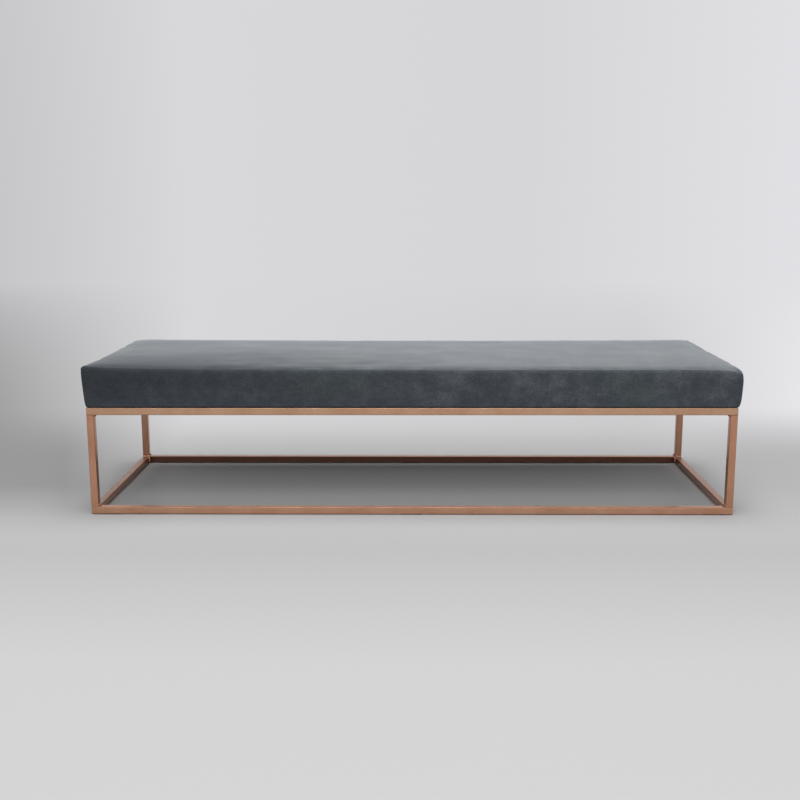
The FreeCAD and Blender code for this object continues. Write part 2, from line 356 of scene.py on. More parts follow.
@dataclass(frozen=True)
class SatinCopper:
    """Copper plating on mild steel tube, brushed along the tube and lacquered.

    It gives warm, soft-edged reflections with faint long lines and a little unevenness in tone.
    Along the corners it is painted browner and darker as shade, so that they don't glint, and the
    faces turned into the frame are painted darker as the shade that falls there. The lines are
    drawn 1.1 mm wide so that they show.

    Attributes:
        name: what is plated.
        run: the way it runs.
        centres: for the other two axes, the distances of the tubes' centre planes from the origin.
        tube_size: the tube's outside width.
        rim_start: how far in from a face the painted shade along the corners starts.
        rim_full: how far in it is complete.
        rim_shares: how much of the rim shade tone the corners show, where weakest and where strongest.
        shade_patch_size: the size of the stretches over which that painted shade is stronger or weaker.
        line_length: the length of the brushed lines.
        line_width: their width.
        line_depth: their depth.
        line_share: how much of the deep tone they show.
        cloud_size: the size of the uneven patches of tone.
        cloud_share: how much of the deep tone they show.
        inner_shade_share: how much of the inner shade tone the faces turned inwards show.
        inner_x: the products of normal and place along X at which a face shows all of it, and none.
        inner_y: the same along Y.
        roughness: the roughness across the lines.
        dulling: how much rougher the metal is where the corners are painted with shade.
        tone: the copper's colour.
        deep_tone: the same in the patches.
        rim_shade_tone: the painted shade along the corners, browner and darker.
        inner_shade_tone: the painted shade on the faces turned into the frame.
    """

    name: str
    run: TubeRun
    centres: tuple[tuple[float, ...], tuple[float, ...]]
    tube_size: float = 20 * MM
    rim_start: float = 1.7 * MM
    rim_full: float = 1.1 * MM
    rim_shares: tuple[float, float] = (0.9, 0.55)
    shade_patch_size: float = 60 * MM
    line_length: float = 45 * MM
    line_width: float = 1.1 * MM
    line_depth: float = 0.02 * MM
    line_share: float = 0.15
    cloud_size: float = 70 * MM
    cloud_share: float = 0.55
    inner_shade_share: float = 0.9
    inner_x: tuple[float, float] = (-0.6, -0.3)
    inner_y: tuple[float, float] = (-0.2, -0.1)
    roughness: tuple[float, float] = (0.24, 0.36)
    dulling: float = 0.25
    tone: str = "CEA083"
    deep_tone: str = "B8886A"
    rim_shade_tone: str = "8F6A53"
    inner_shade_tone: str = "AE836A"

    def corner_shade(self, surface: Surface) -> NodeSocket:
        """Works out how much painted shade a point gets, by how close it is to one of its tube's corners.

        Args:
            surface: the material.

        Returns:
            The share of the painted corner shade.
        """
        add = surface.add
        axes = [axis for axis in range(3) if axis != self.run.value]
        offsets = []
        for axis, centres in zip(axes, self.centres):
            reach = add("Math", (add("SeparateXYZ", (surface.place,), axis),), operation="ABSOLUTE")
            nearest = None
            for centre in centres:
                signed = add("Math", (reach, centre), operation="SUBTRACT")
                distance = add("Math", (signed,), operation="ABSOLUTE")
                if nearest is not None:
                    distance = add("Math", (nearest, distance), operation="MINIMUM")
                nearest = distance
            offsets.append(nearest)
        rim = add("Math", offsets, operation="MINIMUM")
        half = self.tube_size / 2
        # Painted shade along the corners, stronger in some stretches than in others.
        edge = add("MapRange", (rim, half - self.rim_start, half - self.rim_full))
        shade_patches = add("TexNoise", {"Vector": surface.place, "Scale": 1 / self.shade_patch_size, "Detail": 3.0})
        shade_strength = add("MapRange", (shade_patches, *MOSTLY, *self.rim_shares))
        return add("Math", (edge, shade_strength), operation="MULTIPLY")

    def inward(self, surface: Surface) -> NodeSocket:
        """Works out whether a point's face is turned towards the middle of the frame.

        Such a face has its normal against its own place, so their product is below 0.

        Args:
            surface: the material.

        Returns:
            The share of the painted inner shade.
        """
        add = surface.add
        normal = add("NewGeometry", out="True Normal")
        turned = add("VectorMath", (surface.place, normal), operation="MULTIPLY")
        shares = [
            add("MapRange", (add("SeparateXYZ", (turned,), axis), *limits, self.inner_shade_share, 0.0))
            for axis, limits in (("X", self.inner_x), ("Y", self.inner_y))
        ]
        return add("Math", shares, operation="MAXIMUM")

    def build(self) -> Material:
        """Returns the material."""
        surface = Surface(f"satin_copper_{self.name}", Metallic=1.0)
        add = surface.add
        sizes = [self.line_width] * 3
        sizes[self.run.value] = self.line_length
        drawn = add("Mapping", {"Vector": surface.place, "Scale": per(*sizes)})
        lines = add("TexNoise", {"Vector": drawn, "Scale": 1.0, "Detail": 3.0, "Roughness": 0.6})
        clouds = add("TexNoise", {"Vector": surface.place, "Scale": 1 / self.cloud_size, "Detail": 3.0})
        corner_shade = self.corner_shade(surface)
        tone = linear(self.tone)
        # Where each tone lies over those before it, and how much of it shows.
        for share, code in (
            (add("MapRange", (clouds, *MOSTLY, 0.0, self.cloud_share)), self.deep_tone),
            (add("MapRange", (lines, 0.35, 0.7, 0.0, self.line_share)), self.deep_tone),
            # Painted shade on the faces turned into the frame, where shade falls.
            (self.inward(surface), self.inner_shade_tone),
            # Painted shade along the corners, so that they don't glint.
            (corner_shade, self.rim_shade_tone),
        ):
            tone = add("Mix", {0: share, 6: tone, 7: linear(code)}, **COLOURS)
        dull = add("MapRange", (lines, *NEARLY_ALWAYS, *self.roughness))
        dull = add("Math", (corner_shade, self.dulling, dull), operation="MULTIPLY_ADD")
        bump = add("Bump", {"Height": lines, "Distance": self.line_depth, "Strength": 0.4})
        return surface.feed(Base_Color=tone, Roughness=dull, Normal=bump)


@dataclass(frozen=True)
class PlatedWeld:
    """Arc-welded steel bead, wire brushed and plated over with copper.

    It gives small rounded highlights from bead to bead and a darker, browner tone in the hollows.
    The beads along the front are painted darker, as shade, so that they don't glint.

    Attributes:
        spatter_size: the size of its grains.
        spatter_depth: their depth.
        cloud_size: the size of the uneven patches of tone.
        cloud_share: how much of the deep tone they show.
        front_edge: the places along Y between which that painted shade ends.
        roughness: the roughness across the grains.
        dulling: how much rougher the beads along the front are.
        tone: the plating's colour.
        deep_tone: the same in the patches.
        front_shade_tone: the painted shade of the beads along the front.
    """

    spatter_size: float = 1.2 * MM
    spatter_depth: float = 0.06 * MM
    cloud_size: float = 9 * MM
    cloud_share: float = 0.8
    front_edge: tuple[float, float] = (-0.1, 0.1)
    roughness: tuple[float, float] = (0.16, 0.28)
    dulling: float = 0.3
    tone: str = "EBC9B0"
    deep_tone: str = "C09478"
    front_shade_tone: str = "9C7058"

    def build(self) -> Material:
        """Returns the material."""
        surface = Surface("plated_weld", Metallic=1.0)
        add = surface.add
        fine = {"Vector": surface.place, "Scale": 1 / self.spatter_size, "Detail": 3.0, "Roughness": 0.6}
        spatter = add("TexNoise", fine)
        clouds = add("TexNoise", {"Vector": surface.place, "Scale": 1 / self.cloud_size, "Detail": 2.0})
        share = add("MapRange", (clouds, *MOSTLY, 0.0, self.cloud_share))
        tone = add("Mix", {0: share, 6: linear(self.tone), 7: linear(self.deep_tone)}, **COLOURS)
        across = add("SeparateXYZ", (surface.place,), "Y")
        # Painted shade on the beads along the front, so that they don't glint.
        front = add("MapRange", (across, *self.front_edge, 1.0, 0.0))
        tone = add("Mix", {0: front, 6: tone, 7: linear(self.front_shade_tone)}, **COLOURS)
        dull = add("MapRange", (spatter, *NEARLY_ALWAYS, *self.roughness))
        dull = add("Math", (front, self.dulling, dull), operation="MULTIPLY_ADD")
        bump = add("Bump", {"Height": spatter, "Distance": self.spatter_depth, "Strength": 0.6})
        return surface.feed(Base_Color=tone, Roughness=dull, Normal=bump)


@dataclass(frozen=True)
class SlateVelvet:
    """Polyester velvet, woven with a cut pile 1.5 mm long and pressed in places by use.

    It gives a dark face where the pile is seen end on, a pale bloom at low angles, and cloudy
    patches and short strokes where the pile leans different ways. Painted shade darkens its left
    end, the gaps between its tufts and its foot. The tufts are drawn at 3.4 mm so that they show.

    Attributes:
        tone: the pile's colour.
        dark_tone: the same where it leans away.
        pale_tone: the same where it leans towards the light.
        green_tone: the greener cast of some stretches.
        bloom: the colour of the pale bloom.
        pile_shade_tone: the painted shade at the left end of the pad and between the tufts.
        foot_shade_tone: the painted shade along the foot, where the cloth turns under.
        patch_size: the size of the cloudy patches.
        stroke_length: the length of the strokes.
        stroke_width: their width.
        bruise_size: the size of the small pressed spots.
        tuft_size: the distance between tufts.
        nap_stretch: how much longer all of these are from front to rear, the way the pile lies.
        sweep_sizes: the size of the broad stretches along X, Y and Z.
        patch_part: how much of the lean of the pile comes from the patches, the rest from strokes.
        drift: how far the broad stretches shift what changes along the bench.
        roughness: the roughness from where it leans away to where it leans towards the light.
        tuft_depth: the bump of the tufts.
        lean_depth: the bump of the patches and strokes.
        sweep_depth: the bump of the broad stretches.
        comb_depth: how far the pile near the front left leans forward, as a bump.
        comb_start: where that begins, along Y.
        comb_reach: how far in front of that it is complete.
        comb_end: between which places along the bench it ends.
        left_shade_end: between which places along the bench the painted shade at the left end fades out.
        left_shade_share: how much painted shade the left end gets.
        foot: the height near the pad's foot where that shade is weakest.
        foot_part: how much of that shade shows there.
        chest: the height above which that shade shows fully.
        hem: the height under which the cloth turns in and painted shade darkens the pile.
        hem_fade: how far above that the painted shade fades out.
    """

    tone: str = "44494F"
    dark_tone: str = "3A3F46"
    pale_tone: str = "51565B"
    green_tone: str = "434A4A"
    bloom: str = "F2F7FC"
    pile_shade_tone: str = "24282D"
    foot_shade_tone: str = "14171B"
    patch_size: float = 48 * MM
    stroke_length: float = 24 * MM
    stroke_width: float = 10 * MM
    bruise_size: float = 9 * MM
    tuft_size: float = 3.4 * MM
    nap_stretch: float = 2.4
    sweep_sizes: tuple[float, ...] = (330 * MM, 330 * MM, 200 * MM)
    patch_part: float = 0.75
    drift: float = 0.1
    roughness: tuple[float, float] = (0.98, 0.82)
    tuft_depth: float = 0.25 * MM
    lean_depth: float = 0.2 * MM
    sweep_depth: float = 3.5 * MM
    comb_depth: float = 21 * MM
    comb_start: float = 60 * MM
    comb_reach: float = 380 * MM
    comb_end: tuple[float, float] = (-0.5, 0.1)
    left_shade_end: tuple[float, float] = (-0.9, 0.2)
    left_shade_share: float = 0.8
    foot: float = 310 * MM
    foot_part: float = 0.6
    chest: float = 370 * MM
    hem: float = 300.2 * MM
    hem_fade: float = 2.4 * MM

    def build(self) -> Material:
        """Returns the material."""
        surface = Surface(
            "slate_velvet",
            IOR=1.5,
            Specular_IOR_Level=0.2,
            Sheen_Weight=1.0,
            Sheen_Roughness=0.3,
            Sheen_Tint=linear(self.bloom),
        )
        add = surface.add
        stretch = self.nap_stretch
        patterns = []
        for sizes, detail, roughness in (
            ((self.patch_size, self.patch_size * stretch, self.patch_size), 4.0, 0.6),
            ((self.stroke_length, self.stroke_width * stretch, self.stroke_width), 3.0, 0.6),
            ((self.tuft_size, self.tuft_size * stretch, self.tuft_size), 3.0, 0.7),
            (self.sweep_sizes, 2.0, 0.5),
        ):
            drawn = add("Mapping", {"Vector": surface.place, "Scale": per(*sizes)})
            layers = {"Scale": 1.0, "Detail": detail, "Roughness": roughness}
            patterns.append(add("TexNoise", {"Vector": drawn, **layers}))
        patches, strokes, tufts, sweeps = patterns
        lean = add("Math", (patches, self.patch_part), operation="MULTIPLY")
        lean = add("Math", (strokes, 1 - self.patch_part, lean), operation="MULTIPLY_ADD")
        drift = add("MapRange", (sweeps, *NEARLY_ALWAYS, -self.drift, self.drift))
        along = add("Math", (add("SeparateXYZ", (surface.place,), "X"), drift), operation="ADD")
        tone = self.colour(surface, lean, tufts, sweeps, along)
        dull = add("MapRange", (lean, *MOSTLY, *self.roughness))
        height = add("Math", (tufts, self.tuft_depth), operation="MULTIPLY")
        height = add("Math", (lean, self.lean_depth, height), operation="MULTIPLY_ADD")
        height = add("Math", (sweeps, self.sweep_depth, height), operation="MULTIPLY_ADD")
        across = add("SeparateXYZ", (surface.place,), "Y")
        ahead = add("MapRange", (across, self.comb_start - self.comb_reach, self.comb_start, 1.0, 0.0))
        combed = add("Math", (ahead, 2.0), operation="POWER")
        leftward = add("MapRange", (along, *self.comb_end, 1.0, 0.0))
        combed = add("Math", (combed, leftward), operation="MULTIPLY")
        height = add("Math", (combed, -self.comb_depth, height), operation="MULTIPLY_ADD")
        bump = add("Bump", {"Height": height, "Distance": 1.0})
        return surface.feed(Base_Color=tone, Roughness=dull, Normal=bump)

    def colour(
        self,
        surface: Surface,
        lean: NodeSocket,
        tufts: NodeSocket,
        sweeps: NodeSocket,
        along: NodeSocket,
    ) -> NodeSocket:
        """Works out the pile's colour.

        Args:
            surface: the material.
            lean: the pattern of patches and strokes.
            tufts: the pattern of tufts.
            sweeps: the pattern of broad stretches.
            along: the place along the bench, with an uneven edge.

        Returns:
            The colour.
        """
        add = surface.add
        spots = add("TexNoise", {"Vector": surface.place, "Scale": 1 / self.bruise_size, "Detail": 2.0})
        height = add("SeparateXYZ", (surface.place,), "Z")
        # Painted shade: the pad is darker towards its left end, less so near its foot.
        brushed = add("MapRange", (along, *self.left_shade_end, self.left_shade_share, 0.0))
        upper = add("MapRange", (height, self.foot, self.chest, self.foot_part, 1.0))
        colour = linear(self.tone)
        # Where each tone lies over those before it, and how much of it shows.
        for share, code in (
            (add("MapRange", (lean, 0.36, 0.52, 1.0, 0.0)), self.dark_tone),
            (add("MapRange", (lean, 0.5, 0.66, 0.0, 1.0)), self.pale_tone),
            (add("MapRange", (sweeps, 0.4, 0.65, 0.0, 0.5)), self.green_tone),
            # Painted shade at the left end.
            (add("Math", (brushed, upper), operation="MULTIPLY"), self.pile_shade_tone),
            (add("MapRange", (spots, 0.3, 0.42, 0.7, 0.0)), self.dark_tone),
            # Painted shade between the tufts, where the bump is low.
            (add("MapRange", (tufts, 0.3, 0.6, 0.6, 0.0)), self.pile_shade_tone),
            # Painted shade along the foot, where the cloth turns under.
            (add("MapRange", (height, self.hem, self.hem + self.hem_fade, 0.9, 0.0)), self.foot_shade_tone),
        ):
            colour = add("Mix", {0: share, 6: colour, 7: linear(code)}, **COLOURS)
        return colour


@dataclass(frozen=True)
class WoolFelt:
    """Pressed wool felt, die cut.

    It gives a matt, mixed grey-brown face with short loose fibres, drawn at 0.7 mm so that they
    show.

    Attributes:
        fibre_sizes: the size of the fibres along X, Y and Z.
        fleck_size: the size of the flecks.
        fibre_depth: the depth of both.
        tone: the felt's colour.
        dark_tone: the painted shade between the fibres.
    """

    fibre_sizes: tuple[float, ...] = (4 * MM, 0.7 * MM, 0.7 * MM)
    fleck_size: float = 1.1 * MM
    fibre_depth: float = 0.2 * MM
    tone: str = "6A6661"
    dark_tone: str = "3E3B38"

    def build(self) -> Material:
        """Returns the material."""
        surface = Surface("wool_felt", Roughness=0.97, IOR=1.5, Specular_IOR_Level=0.2, Sheen_Weight=0.2)
        add = surface.add
        drawn = add("Mapping", {"Vector": surface.place, "Scale": per(*self.fibre_sizes)})
        fibres = add("TexNoise", {"Vector": drawn, "Scale": 1.0, "Detail": 4.0, "Roughness": 0.7})
        flecks = add("TexNoise", {"Vector": surface.place, "Scale": 1 / self.fleck_size, "Detail": 2.0})
        mixed = add("Math", (fibres, flecks), operation="ADD")
        # Painted shade: the felt is darker where the fibres and flecks are low.
        share = add("MapRange", (mixed, 0.76, 1.24))
        tone = add("Mix", {0: share, 6: linear(self.dark_tone), 7: linear(self.tone)}, **COLOURS)
        bump = add("Bump", {"Height": mixed, "Distance": self.fibre_depth})
        return surface.feed(Base_Color=tone, Normal=bump)


@dataclass(frozen=True)
class PoplarPlywood:
    """Raw poplar plywood, sanded on its faces and sawn at its edges.

    It gives pale straight figure along the board and bands of light and dark plies at the edges.

    Attributes:
        underside: the height of the board's underside, where the first ply starts.
        ply_thickness: a ply's thickness.
        figure_sizes: the size of the figure along X, Y and Z.
        pore_sizes: the size of the open pores.
        pore_depth: their depth.
        roughness: the roughness between pores and in them.
        tone: the wood's colour.
        figure_tone: the colour of the figure.
        cross_tone: the colour of the plies seen end on.
    """

    underside: float
    ply_thickness: float = 1.7 * MM
    figure_sizes: tuple[float, ...] = (260 * MM, 7 * MM, 30 * MM)
    pore_sizes: tuple[float, ...] = (6 * MM, 0.5 * MM, 0.5 * MM)
    pore_depth: float = 0.1 * MM
    roughness: tuple[float, float] = (0.6, 0.8)
    tone: str = "D8BF96"
    figure_tone: str = "BD9B6C"
    cross_tone: str = "A98558"

    def build(self) -> Material:
        """Returns the material."""
        surface = Surface("poplar_plywood", IOR=1.5, Specular_IOR_Level=0.3)
        add = surface.add
        drawn = add("Mapping", {"Vector": surface.place, "Scale": per(*self.figure_sizes)})
        figure = add("TexNoise", {"Vector": drawn, "Scale": 1.0, "Detail": 4.0, "Roughness": 0.6})
        drawn = add("Mapping", {"Vector": surface.place, "Scale": per(*self.pore_sizes)})
        pores = add("TexNoise", {"Vector": drawn, "Scale": 1.0, "Detail": 2.0})
        share = add("MapRange", (figure, 0.4, 0.62, 0.0, 0.8))
        tone = add("Mix", {0: share, 6: linear(self.tone), 7: linear(self.figure_tone)}, **COLOURS)
        height = add("SeparateXYZ", (surface.place,), "Z")
        level = add("Math", (height, self.underside), operation="SUBTRACT")
        band = add("Math", (level, self.ply_thickness), operation="PINGPONG")
        crossed = add("MapRange", (band, self.ply_thickness * 0.45, self.ply_thickness * 0.55))
        upright = add("SeparateXYZ", (add("NewGeometry", out="True Normal"),), "Z")
        sawn = add("MapRange", (add("Math", (upright,), operation="ABSOLUTE"), 0.3, 0.6, 1.0, 0.0))
        share = add("Math", (crossed, sawn), operation="MULTIPLY")
        tone = add("Mix", {0: share, 6: tone, 7: linear(self.cross_tone)}, **COLOURS)
        dull = add("MapRange", (pores, *NEARLY_ALWAYS, *self.roughness))
        bump = add("Bump", {"Height": pores, "Distance": self.pore_depth, "Strength": 0.6})
        return surface.feed(Base_Color=tone, Roughness=dull, Normal=bump)


@dataclass(frozen=True)
class CutFoam:
    """Flexible polyurethane foam, sliced from a block.

    It gives a cream face pitted with open cells, drawn at 1.6 mm so that they show.

    Attributes:
        cell_size: the size of a cell.
        cell_depth: its depth.
        tone: the foam's colour.
        cell_shade_tone: the painted shade inside the cells.
    """

    cell_size: float = 1.6 * MM
    cell_depth: float = 0.6 * MM
    tone: str = "EBDFBC"
    cell_shade_tone: str = "C9B98C"

    def build(self) -> Material:
        """Returns the material."""
        surface = Surface("cut_foam", Roughness=0.95, IOR=1.45, Specular_IOR_Level=0.2)
        add = surface.add
        cells = add("TexVoronoi", {"Vector": surface.place, "Scale": 1 / self.cell_size}, "Distance")
        # Painted shade: the pits of the cells, where the bump is low, are darker.
        share = add("MapRange", (cells, 0.1, 0.6))
        tone = add("Mix", {0: share, 6: linear(self.cell_shade_tone), 7: linear(self.tone)}, **COLOURS)
        bump = add("Bump", {"Height": cells, "Distance": self.cell_depth})
        return surface.feed(Base_Color=tone, Normal=bump)


@dataclass(frozen=True)
class BondedWadding:
    """Resin-bonded polyester fibre wadding.

    It gives a white, lofty face of crossing fibres, drawn at 0.8 mm so that they show.

    Attributes:
        fibre_length: the length of the fibres.
        fibre_width: their width.
        loft: how far they stand up.
        tone: the fibres' colour.
        shade_tone: the colour between them.
    """

    fibre_length: float = 14 * MM
    fibre_width: float = 0.8 * MM
    loft: float = 0.8 * MM
    tone: str = "F0F0EC"
    shade_tone: str = "D3D5D6"

    def build(self) -> Material:
        """Returns the material."""
        surface = Surface("bonded_wadding", Roughness=0.9, IOR=1.5, Specular_IOR_Level=0.2, Sheen_Weight=0.15)
        add = surface.add
        webs = []
        for axis in (0, 1):
            sizes = [self.fibre_width] * 3
            sizes[axis] = self.fibre_length
            drawn = add("Mapping", {"Vector": surface.place, "Scale": per(*sizes)})
            webs.append(add("TexNoise", {"Vector": drawn, "Scale": 1.0, "Detail": 3.0, "Roughness": 0.7}))
        crossing = add("Math", webs, operation="MAXIMUM")
        share = add("MapRange", (crossing, 0.4, 0.65))
        tone = add("Mix", {0: share, 6: linear(self.shade_tone), 7: linear(self.tone)}, **COLOURS)
        bump = add("Bump", {"Height": crossing, "Distance": self.loft})
        return surface.feed(Base_Color=tone, Normal=bump)


@dataclass(frozen=True)
class SpunbondCloth:
    """Black spun-bonded polypropylene, calendered in a pattern of small dots.

    It gives a thin, slightly shiny web of crossing filaments, drawn at 0.7 mm so that they show,
    with a grid of pressed points.

    Attributes:
        filament_sizes: the size of the filaments along X, Y and Z.
        dot_pitch: how far apart the pressed points are.
        dot_depth: their depth.
        roughness: the roughness of the web and of the pressed points.
        tone: the cloth's colour.
        dot_tone: the colour between filaments and of the pressed points.
    """

    filament_sizes: tuple[float, ...] = (9 * MM, 0.7 * MM, 0.7 * MM)
    dot_pitch: float = 2.4 * MM
    dot_depth: float = 0.12 * MM
    roughness: tuple[float, float] = (0.8, 0.45)
    tone: str = "2B2B2D"
    dot_tone: str = "17171A"

    def build(self) -> Material:
        """Returns the material."""
        surface = Surface("spunbond_cloth", IOR=1.49, Specular_IOR_Level=0.35)
        add = surface.add
        drawn = add("Mapping", {"Vector": surface.place, "Scale": per(*self.filament_sizes)})
        filaments = add("TexNoise", {"Vector": drawn, "Scale": 1.0, "Detail": 3.0, "Roughness": 0.7})
        grid = {"Vector": surface.place, "Scale": 1 / self.dot_pitch, "Randomness": 0.0}
        dots = add("TexVoronoi", grid, "Distance", voronoi_dimensions="2D")
        pressed = add("MapRange", (dots, 0.22, 0.3, 1.0, 0.0))
        tone = linear(self.tone)
        for share in (add("MapRange", (filaments, *MOSTLY, 0.0, 0.6)), pressed):
            tone = add("Mix", {0: share, 6: tone, 7: linear(self.dot_tone)}, **COLOURS)
        dull = add("MapRange", (pressed, 0.0, 1.0, *self.roughness))
        height = add("Math", (filaments, pressed), operation="SUBTRACT")
        bump = add("Bump", {"Height": height, "Distance": self.dot_depth})
        return surface.feed(Base_Color=tone, Roughness=dull, Normal=bump)


@dataclass(frozen=True)
class ZincPlate:
    """Zinc-plated and blue-passivated steel.

    It gives a cool, fairly bright metal with cloudy tone from plating and handling.

    Attributes:
        name: the material's name.
        tone: the plating's colour.
        cloud_tone: the colour of the clouds.
        cloud_size: the size of the clouds.
        cloud_depth: their depth.
        roughness: the roughness across them.
    """

    name: str = "zinc_plate"
    tone: str = "C6CBD0"
    cloud_tone: str = "A5ABB2"
    cloud_size: float = 3 * MM
    cloud_depth: float = 0.02 * MM
    roughness: tuple[float, float] = (0.26, 0.42)

    def build(self) -> Material:
        """Returns the material."""
        surface = Surface(self.name, Metallic=1.0)
        add = surface.add
        cloudy = {"Vector": surface.place, "Scale": 1 / self.cloud_size, "Detail": 4.0, "Roughness": 0.6}
        clouds = add("TexNoise", cloudy)
        share = add("MapRange", (clouds, 0.38, 0.62))
        tone = add("Mix", {0: share, 6: linear(self.tone), 7: linear(self.cloud_tone)}, **COLOURS)
        dull = add("MapRange", (clouds, *MOSTLY, *self.roughness))
        bump = add("Bump", {"Height": clouds, "Distance": self.cloud_depth, "Strength": 0.4})
        return surface.feed(Base_Color=tone, Roughness=dull, Normal=bump)


# Steel frame


# A corner to be welded: the middle of its line and the ways of its two legs.
Corner = tuple[Vector, Vector, Vector]


@dataclass
class WeldBead:
    """One fillet weld, built along +Z from the origin with its legs along +X and +Y.

    Attributes:
        leg: how far it reaches along its second tube.
        throat: how far it reaches along its first tube, as a share of that.
        length: its length.
        ripples: how many ripples it has.
        neck: the waist between two ripples, as a share of the leg.
        arc_points: points round the circle that it is shaped from.
    """

    leg: float = 6 * MM
    throat: float = 0.6
    length: float = 17 * MM
    ripples: int = 9
    neck: float = 0.82
    arc_points: int = 12

    def build(self) -> Object:
        """Models the bead: a quarter disc, drawn out ripple by ripple.

        Returns:
            The bead, to be copied.
        """
        deselect_all()
        bpy.ops.mesh.primitive_circle_add(vertices=self.arc_points, radius=self.leg, fill_type="NGON")
        bead = bpy.context.object
        bpy.ops.object.mode_set(mode="EDIT")
        for axis, squash in ((0, (0, 1, 1)), (1, (1, 0, 1))):
            self.select_below(bead, axis)
            bpy.ops.transform.resize(value=squash, center_override=(0, 0, 0))
        bpy.ops.mesh.select_all(action="SELECT")
        bpy.ops.mesh.remove_doubles(threshold=TOUCH)
        bpy.ops.mesh.select_all(action="SELECT")
        half_pitch = self.length / self.ripples / 2
        height = 0.0
        for step in range(2 * self.ripples):
            bpy.ops.mesh.extrude_region_move(TRANSFORM_OT_translate={"value": (0, 0, half_pitch)})
            height += half_pitch
            grow = 1 / self.neck if step % 2 == 0 else self.neck
            bpy.ops.transform.resize(value=(grow, grow, 1), center_override=(0, 0, height))
        bpy.ops.mesh.select_all(action="SELECT")
        bpy.ops.transform.resize(value=(self.neck * self.throat, self.neck, 1), center_override=(0, 0, 0))
        bpy.ops.mesh.normals_make_consistent(inside=False)
        bpy.ops.object.mode_set(mode="OBJECT")
        bpy.ops.object.shade_smooth_by_angle(angle=math.radians(60))
        return bead

    def select_below(self, bead: Object, axis: int) -> None:
        """Selects the bead's vertices on the low side of an axis, in edit mode.

        Args:
            bead: the bead, in edit mode.
            axis: 0 for X or 1 for Y.
        """
        bpy.ops.mesh.select_all(action="DESELECT")
        bpy.ops.object.mode_set(mode="OBJECT")
        for vertex in bead.data.vertices:
            vertex.select = vertex.co[axis] < -TOUCH
        bpy.ops.object.mode_set(mode="EDIT")

    def turn(self, middle: Vector, first: Vector, second: Vector) -> Matrix:
        """Works out the matrix that sets the bead in a corner.

        Args:
            middle: the middle of the corner's line.
            first: the way of one leg.
            second: the way of the other leg.

        Returns:
            The matrix.
        """
        run = first.cross(second)
        axes = Matrix((first, second, run)).transposed().to_4x4()
        return Matrix.Translation(middle - run * (self.length / 2)) @ axes


